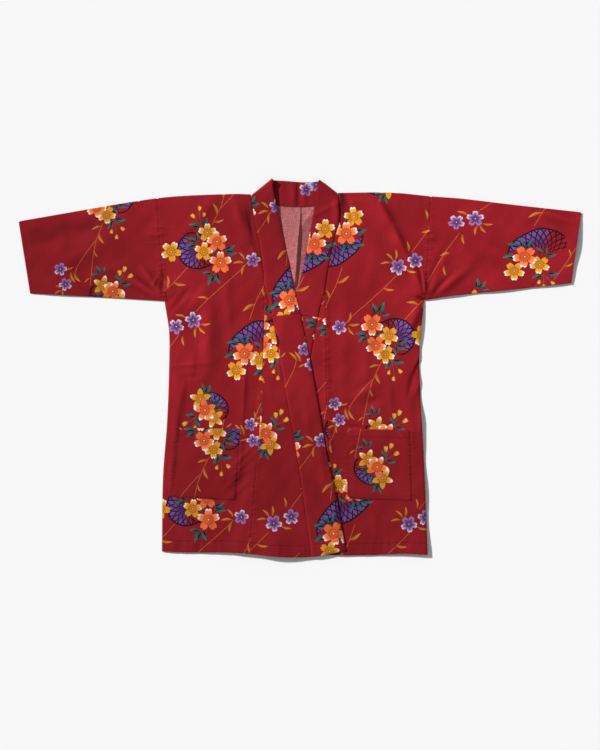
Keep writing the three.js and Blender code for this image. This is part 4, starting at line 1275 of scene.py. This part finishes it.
def in_hanging_tendril(motif):
    x, y = motif["loop"].mean(axis=0)
    return motif["ink"] in (TENDRIL, OCHRE) and -80 < x < -34 and 70 < y < 125


def in_sunken_cluster(motif):
    x, y = motif["loop"].mean(axis=0)
    return motif["ink"] in (YELLOW, ORANGE, BASKET) and x < 15 and y > 120


for side in ("right", "left"):
    loop = sleeve_cut(side)
    across, down, over, under, turned = SLEEVE_PRINT[side]
    hanging = [m for m in PRINT if side == "left" and in_hanging_tendril(m)]
    sunken = [m for m in PRINT if side == "left" and in_sunken_cluster(m)]
    others = [m for m in PRINT if side == "right" or not (in_hanging_tendril(m) or in_sunken_cluster(m))]
    motifs = lay_print(loop, *TENDRIL_AT, motifs=hanging)
    motifs += lay_print(loop, across, down + SUNKEN, over, under, turned, motifs=sunken)
    motifs += lay_print(loop, across, down, over, under, turned, motifs=others)
    rows = fold_rows(side, float(side_seam[side](403)), 661 * SIGN[side]) + CREASE_ROWS
    sheet, area = make_cloth(loop, motifs, lambda x, v: sleeve_place(side, x, v), folds=rows, seam=0.12)
    sleeve = sew_shell([sheet], "sleeve_length_" + side, [cotton_face, cotton_back])
    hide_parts("sleeve_" + side)


# ------------------------------------------------------------------ the okumi
# A tapered strip of the same cotton between each body length and the collar. It gives the
# fronts the width to cross over.

def strip_edge(side, up, down, foot_steps):
    """The edge of a strip that ends at the hem: along its foot, up one side and down the other."""
    for line in (up, down):
        line[0, 1] = hem[side](line[0, 0])
    foot_x = np.linspace(down[0, 0], up[0, 0], foot_steps)[1:-1]
    return np.concatenate((np.column_stack((foot_x, hem[side](foot_x))), up, down[::-1]))


OKUMI_TIP = {"right": 183, "left": 172}


def okumi_cut(side):
    rise = np.linspace(-436, OKUMI_TIP[side], 44)
    outer = okumi_seam[side](rise) - SIGN[side] * STITCHED / 2
    inner = collar_seam[side](rise) + SIGN[side] * STITCHED / 2
    return strip_edge(side, np.column_stack((outer, rise)), np.column_stack((inner, rise)), 12)


def flat_front(side):
    """A place on the front layer."""
    return lambda x, y: np.column_stack((x, y, front_top[side](x, y) + hem_turn(side, x, y)))


OKUMI_PRINT = {"right": (259.3, 323.7), "left": (334, 319)}

for side in ("right", "left"):
    loop = okumi_cut(side)
    motifs = lay_print(loop, *OKUMI_PRINT[side], turned=True, lean=lean[side])
    rows = hem_rows(side) + CREASE_ROWS
    sheet, area = make_cloth(
        loop, motifs, flat_front(side), folds=rows, stitch_and_shade_rows=hem_rows(side)[2:3], seam=0.2
    )
    strip = sew_shell([sheet], "okumi_strip_" + side, [cotton_face, cotton_back])
    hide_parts("okumi_" + side)


# ------------------------------------------------------------------ the collar band
# A long strip of the same cotton folded double, sewn to both fronts and round the neck. It is
# pieced from three lengths: one down each front, and one that goes round behind the neck.

# Where the lower length of the band ends, at its seam, and how fast that line rises across it.
BAND_END = {"right": (121.0, 0.092), "left": (119.0, -0.11)}
NECK_FOLD = {
    "right": {"seam": (-112.5, 404.5), "edge": (-61.5, 440.5), "seam_top": 4.6, "edge_top": 13.0},
    "left": {"seam": (86.5, 408.0), "edge": (43.0, 438.5), "seam_top": 5.2, "edge_top": 10.0},
}
NECK_STAND = 0.55  # share of the neck length over which the band rises to its fold
NECK_CREASES = [
    (97, 391, 30, 357, 1.7, 5), (30, 357, 2, 329, 1.0, 5), (-62, 420, -96, 384, 0.6, 8),
    (84, 400, 89, 338, 3.2, 8),
]
BAND_WALL = 1.6  # the band is two layers of cotton


def band_end(side, x):
    y, rise = BAND_END[side]
    return y + rise * (x - collar_seam[side](y))


def lower_band_cut(side):
    end = float(band_end(side, (collar_seam[side](120) + free_edge[side](120)) / 2)) - SEAM / 2
    rise = np.linspace(-434, end, 40)
    seam_line = np.column_stack((collar_seam[side](rise) - SIGN[side] * STITCHED / 2, rise))
    free_line = np.column_stack((free_edge[side](rise), rise))
    for line in (seam_line, free_line):
        line[-1, 1] = band_end(side, line[-1, 0]) - SEAM / 2
    return strip_edge(side, seam_line, free_line, 10)


LOWER_PRINT = {
    "right": (290.3, 449.7, (0.978, -0.208), (0.208, 0.978), False),
    "left": (323.5, 314, (0.98, 0.19), (-0.19, 0.98), True),
}
RISE_OF_BAND = BAND - CLOTH


def band_section(side, x, y):
    """The band is drawn down to its seam and droops a little at its free edge."""
    from_seam = np.abs(x - collar_seam[side](y))
    from_free = np.abs(x - free_edge[side](y))
    droop = 1.0 + 1.2 * ease((y - 120) / 90) if side == "right" else 0.3
    return RISE_OF_BAND - 0.95 * bell(from_seam, 3.0) - droop * bell(from_free, 7.0)


def lower_band_place(side, x, y):
    z = front_top[side](x, y) + hem_turn(side, x, y) + band_section(side, x, y)
    return np.column_stack((x, y, z))


def shaded_free_row(side):
    """The folded edge of the band, with a line of painted shade along it."""
    return [stretch(free_edge[side], 440, -430, False)]


for side in ("right", "left"):
    loop = lower_band_cut(side)
    across, down, over, under, turned = LOWER_PRINT[side]
    motifs = lay_print(loop, across, down, over, under, turned)
    rows = hem_rows(side) + CREASE_ROWS
    sheet, area = make_cloth(
        loop, motifs, lambda x, y: lower_band_place(side, x, y), BAND_WALL, 0.7, rows, shaded_free_row(side)
    )
    band = sew_shell([sheet], "collar_length_" + side, [cotton_face])
    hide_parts("collar_lower_" + side)


def neck_frame(side):
    """The slanting fold beside the neck, its direction and the way the cloth goes over it."""
    seam, edge = np.array(NECK_FOLD[side]["seam"]), np.array(NECK_FOLD[side]["edge"])
    along = (edge - seam) / np.hypot(*(edge - seam))
    over = np.array((-along[1], along[0]))
    return seam, edge, along, over if over[1] > 0 else -over


def neck_cut(side):
    """One front stretch of the neck length, up to the fold and on over it."""
    sign = SIGN[side]
    seam, edge, _, over = neck_frame(side)
    low_seam = float(band_end(side, collar_seam[side](120))) + SEAM / 2
    low_free = float(band_end(side, free_edge[side](120))) + SEAM / 2
    seam_y = np.linspace(low_seam, seam[1], 26)
    share = (seam_y - low_seam) / (seam[1] - low_seam)
    seam_x = collar_seam[side](seam_y) - sign * SEAM * (1 + 2 * share**4)
    seam_x[-1] = seam[0]
    free_y = np.linspace(low_free, edge[1], 28)
    free_x = free_edge[side](free_y)
    free_x[-1] = edge[0]
    far_seam = seam + over * math.pi * (NECK_FOLD[side]["seam_top"] / 2)
    far_edge = edge + over * math.pi * (NECK_FOLD[side]["edge_top"] / 2)
    free_line = np.column_stack((free_x, free_y))[::-1]
    return np.concatenate((np.column_stack((seam_x, seam_y)), [far_seam, far_edge], free_line))


def neck_place(side, x, v):
    seam, edge, along, over = neck_frame(side)
    reach = np.hypot(*(edge - seam))
    dx, dy = x - seam[0], v - seam[1]
    beyond = dx * over[0] + dy * over[1]
    share = np.clip((dx * along[0] + dy * along[1]) / reach, -0.05, 1.05)
    top = NECK_FOLD[side]["seam_top"] + (NECK_FOLD[side]["edge_top"] - NECK_FOLD[side]["seam_top"]) * share
    low = band_end(side, x)
    high = seam[1] + (edge[1] - seam[1]) * share
    t = np.clip((v - low) / (high - low), 0, 1)
    flat_z = front_top[side](x, v) + band_section(side, x, v)
    z = flat_z + (top - flat_z) * ease((t - 1) / NECK_STAND + 1)
    settled = ease((high - v) / 14)
    points = np.column_stack((x, v, z + settled * ridges(x, v, NECK_CREASES, 0.35, 0)))
    turned = beyond > 0
    radius = top[turned] / 2
    angle = np.clip(beyond[turned] / radius, 0, np.pi)
    foot = np.column_stack((x, v))[turned] - beyond[turned, None] * over
    points[turned, :2] = foot + over * (radius * np.sin(angle))[:, None]
    points[turned, 2] = radius * (1 + np.cos(angle))
    return points


def neck_rows(side):
    """Rows of points round the slanting fold, and along the creases."""
    seam, edge, along, over = neck_frame(side)
    reach = np.hypot(*(edge - seam))
    at = np.linspace(0, 1, 22)[:, None]
    radius = (NECK_FOLD[side]["seam_top"] * (1 - at) + NECK_FOLD[side]["edge_top"] * at) / 2
    middle = seam + along * reach * at
    return [middle + over * radius * math.pi * share for share in (0, 0.2, 0.4, 0.6, 0.8)] + CREASE_ROWS


NECK_PRINT = {
    "right": (245.7, 216.8, (0.97, -0.244), (0.2154, 0.9876), False),
    "left": (321.9, 338, (0.98, 0.19), (-0.19, 0.98), True),
}
collar_top = smooth_line((-62, 441), (-30, 439), (2, 436.5), (24, 436.5), (43, 438.5))

neck_parts = []
for side in ("right", "left"):
    loop = neck_cut(side)
    across, down, over, under, turned = NECK_PRINT[side]
    motifs = lay_print(loop, across, down, over, under, turned)
    sheet, area = make_cloth(
        loop, motifs, lambda x, v: neck_place(side, x, v), BAND_WALL, 0.7, neck_rows(side), shaded_free_row(side)
    )
    neck_parts.append(sheet)

# Behind the neck the band lies flat between its two folds, its inner face up.
turns = np.linspace(0, 1, 30)
neck_x, neck_y = (
    np.where(turns < 0.5, NECK_FOLD["right"]["seam"][k], NECK_FOLD["left"]["seam"][k]) for k in (0, 1)
)
low_x = NECK_BACK[0] + (neck_x - NECK_BACK[0]) * np.abs(np.cos(np.pi * turns))
low_y = neck_y - (neck_y - NECK_BACK[1]) * np.sin(np.pi * turns)
high_x = np.linspace(43, -61.5, 14)
back_top = np.column_stack((high_x, collar_top(high_x)))
back_loop = np.concatenate((np.column_stack((low_x, low_y)), back_top))
blossoms = [blossom(0, 0, 7, VIOLET, 10), blossom(10, -5, 7, VIOLET, -15)]
spray = lay_print(back_loop, 306.3, 189.5, motifs=blossoms)
BACK_BAND_FOLDS = [(-17, 436, -14, 382, 1.7, 6), (9, 436, 11, 384, 1.4, 6), (-46, 436, -42, 388, 1.1, 7)]
sheet, area = make_cloth(
    back_loop,
    spray,
    lambda x, y: np.column_stack((x, y, BAND + ridges(x, y, BACK_BAND_FOLDS, 0.4, 0))),
    BAND_WALL,
    0.6,
    CREASE_ROWS,
)
neck_parts.append(sheet)
neck_band = sew_shell(neck_parts, "collar_length_neck", [cotton_face])
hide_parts("collar_neck")


# ------------------------------------------------------------------ the patch pockets
# A square of the same cotton on each front, its mouth hemmed and its other three edges
# turned in and stitched down.

POCKET_STAND = CLOTH + 0.65
MOUTH_OPEN = 1.6
MOUTH_DEPTH = 0.35  # share of the pocket's height over which the mouth stands open
MOUTH_HEM = 20
POCKET_PRINT = {"right": (200.8, 419.6), "left": (365.5, 357.5)}


def pocket_place(side, x, y):
    a, b, c, d = (np.array(p, float) for p in POCKET[side])
    across = np.clip((x - a[0]) / (b[0] - a[0]), 0, 1)
    top = a[1] + (b[1] - a[1]) * across
    low = d[1] + (c[1] - d[1]) * across
    down = np.clip((top - y) / (top - low), 0, 1)
    opened = MOUTH_OPEN * np.sin(np.pi * across) * ease(1 - down / MOUTH_DEPTH)
    inward = ease(from_lines(x, y, [np.array((b, c, d, a))]) / 14)
    stand = SHELL + 0.15 + (POCKET_STAND - SHELL) * inward
    hemmed = top - y - MOUTH_HEM
    stitched = 0.3 * (1 - ease(hemmed / 1.5 + 0.5)) - 0.35 * bell(hemmed, STITCH_REACH)
    return np.column_stack((x, y, front_top[side](x, y) + stand + opened + stitched))


for side in ("right", "left"):
    loop = np.array(POCKET[side], float)
    motifs = lay_print(loop, *POCKET_PRINT[side], turned=True)
    mouth = even_steps(np.array(POCKET[side][:2], float), EDGE_STEP)[: int(145 / EDGE_STEP)]
    rows = [mouth - (0, MOUTH_HEM + step) for step in (-1.8, 0, 1.8)] + CREASE_ROWS
    middle = loop.mean(axis=0)
    sewn = middle + (np.vstack((loop[1:], loop[:1])) - middle) * 0.975
    sheet, area = make_cloth(
        loop, motifs, lambda x, y: pocket_place(side, x, y), folds=rows, stitch_and_shade_rows=[sewn], seam=0.3
    )
    pocket = sew_shell([sheet], "patch_pocket_" + side, [cotton_face, cotton_back])
    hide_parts("pocket_" + side)


# ------------------------------------------------------------------ floor, light and camera
# A plain pale floor, a lamp low on the upper left, soft light all round, and a long lens
# straight above.

FLOOR = -0.0004
VIEW_WIDTH = 1.41
VIEW_HEIGHT = 8.0
VIEW_MIDDLE = (0.0, -0.0165)

bpy.ops.object.select_all(action="DESELECT")
bpy.ops.mesh.primitive_plane_add(size=12, location=(0, 0, FLOOR))
floor = bpy.context.object
floor.name = "floor"
paper = bpy.data.materials.new("pale_floor")
paper.use_nodes = True
shader = paper.node_tree.nodes["Principled BSDF"].inputs
plug(shader["Base Color"], (0.9, 0.9, 0.9, 1))
plug(shader["Roughness"], 0.9)
plug(shader["Specular IOR Level"], 0.0)
floor.data.materials.append(paper)

lamp = bpy.data.lights.new("low_lamp", "SUN")
lamp.energy = 5.4
lamp.angle = math.radians(5)
lamp_object = bpy.data.objects.new("low_lamp", lamp)
lamp_object.rotation_euler = Vector((-0.8, 0.5, 0.45)).to_track_quat("Z", "Y").to_euler()
bpy.context.scene.collection.objects.link(lamp_object)

world = bpy.data.worlds.new("soft_room")
world.use_nodes = True
plug(world.node_tree.nodes["Background"].inputs["Color"], (1, 1, 1, 1))
plug(world.node_tree.nodes["Background"].inputs["Strength"], 0.3)
bpy.context.scene.world = world

lens = bpy.data.cameras.new("camera")
lens.sensor_fit = "HORIZONTAL"
lens.sensor_width = 36
lens.lens = 36 * VIEW_HEIGHT / VIEW_WIDTH
lens.clip_end = 50
camera = bpy.data.objects.new("camera", lens)
camera.location = (*VIEW_MIDDLE, VIEW_HEIGHT)
bpy.context.scene.collection.objects.link(camera)
bpy.context.scene.camera = camera
bpy.context.scene.view_settings.view_transform = "Standard"
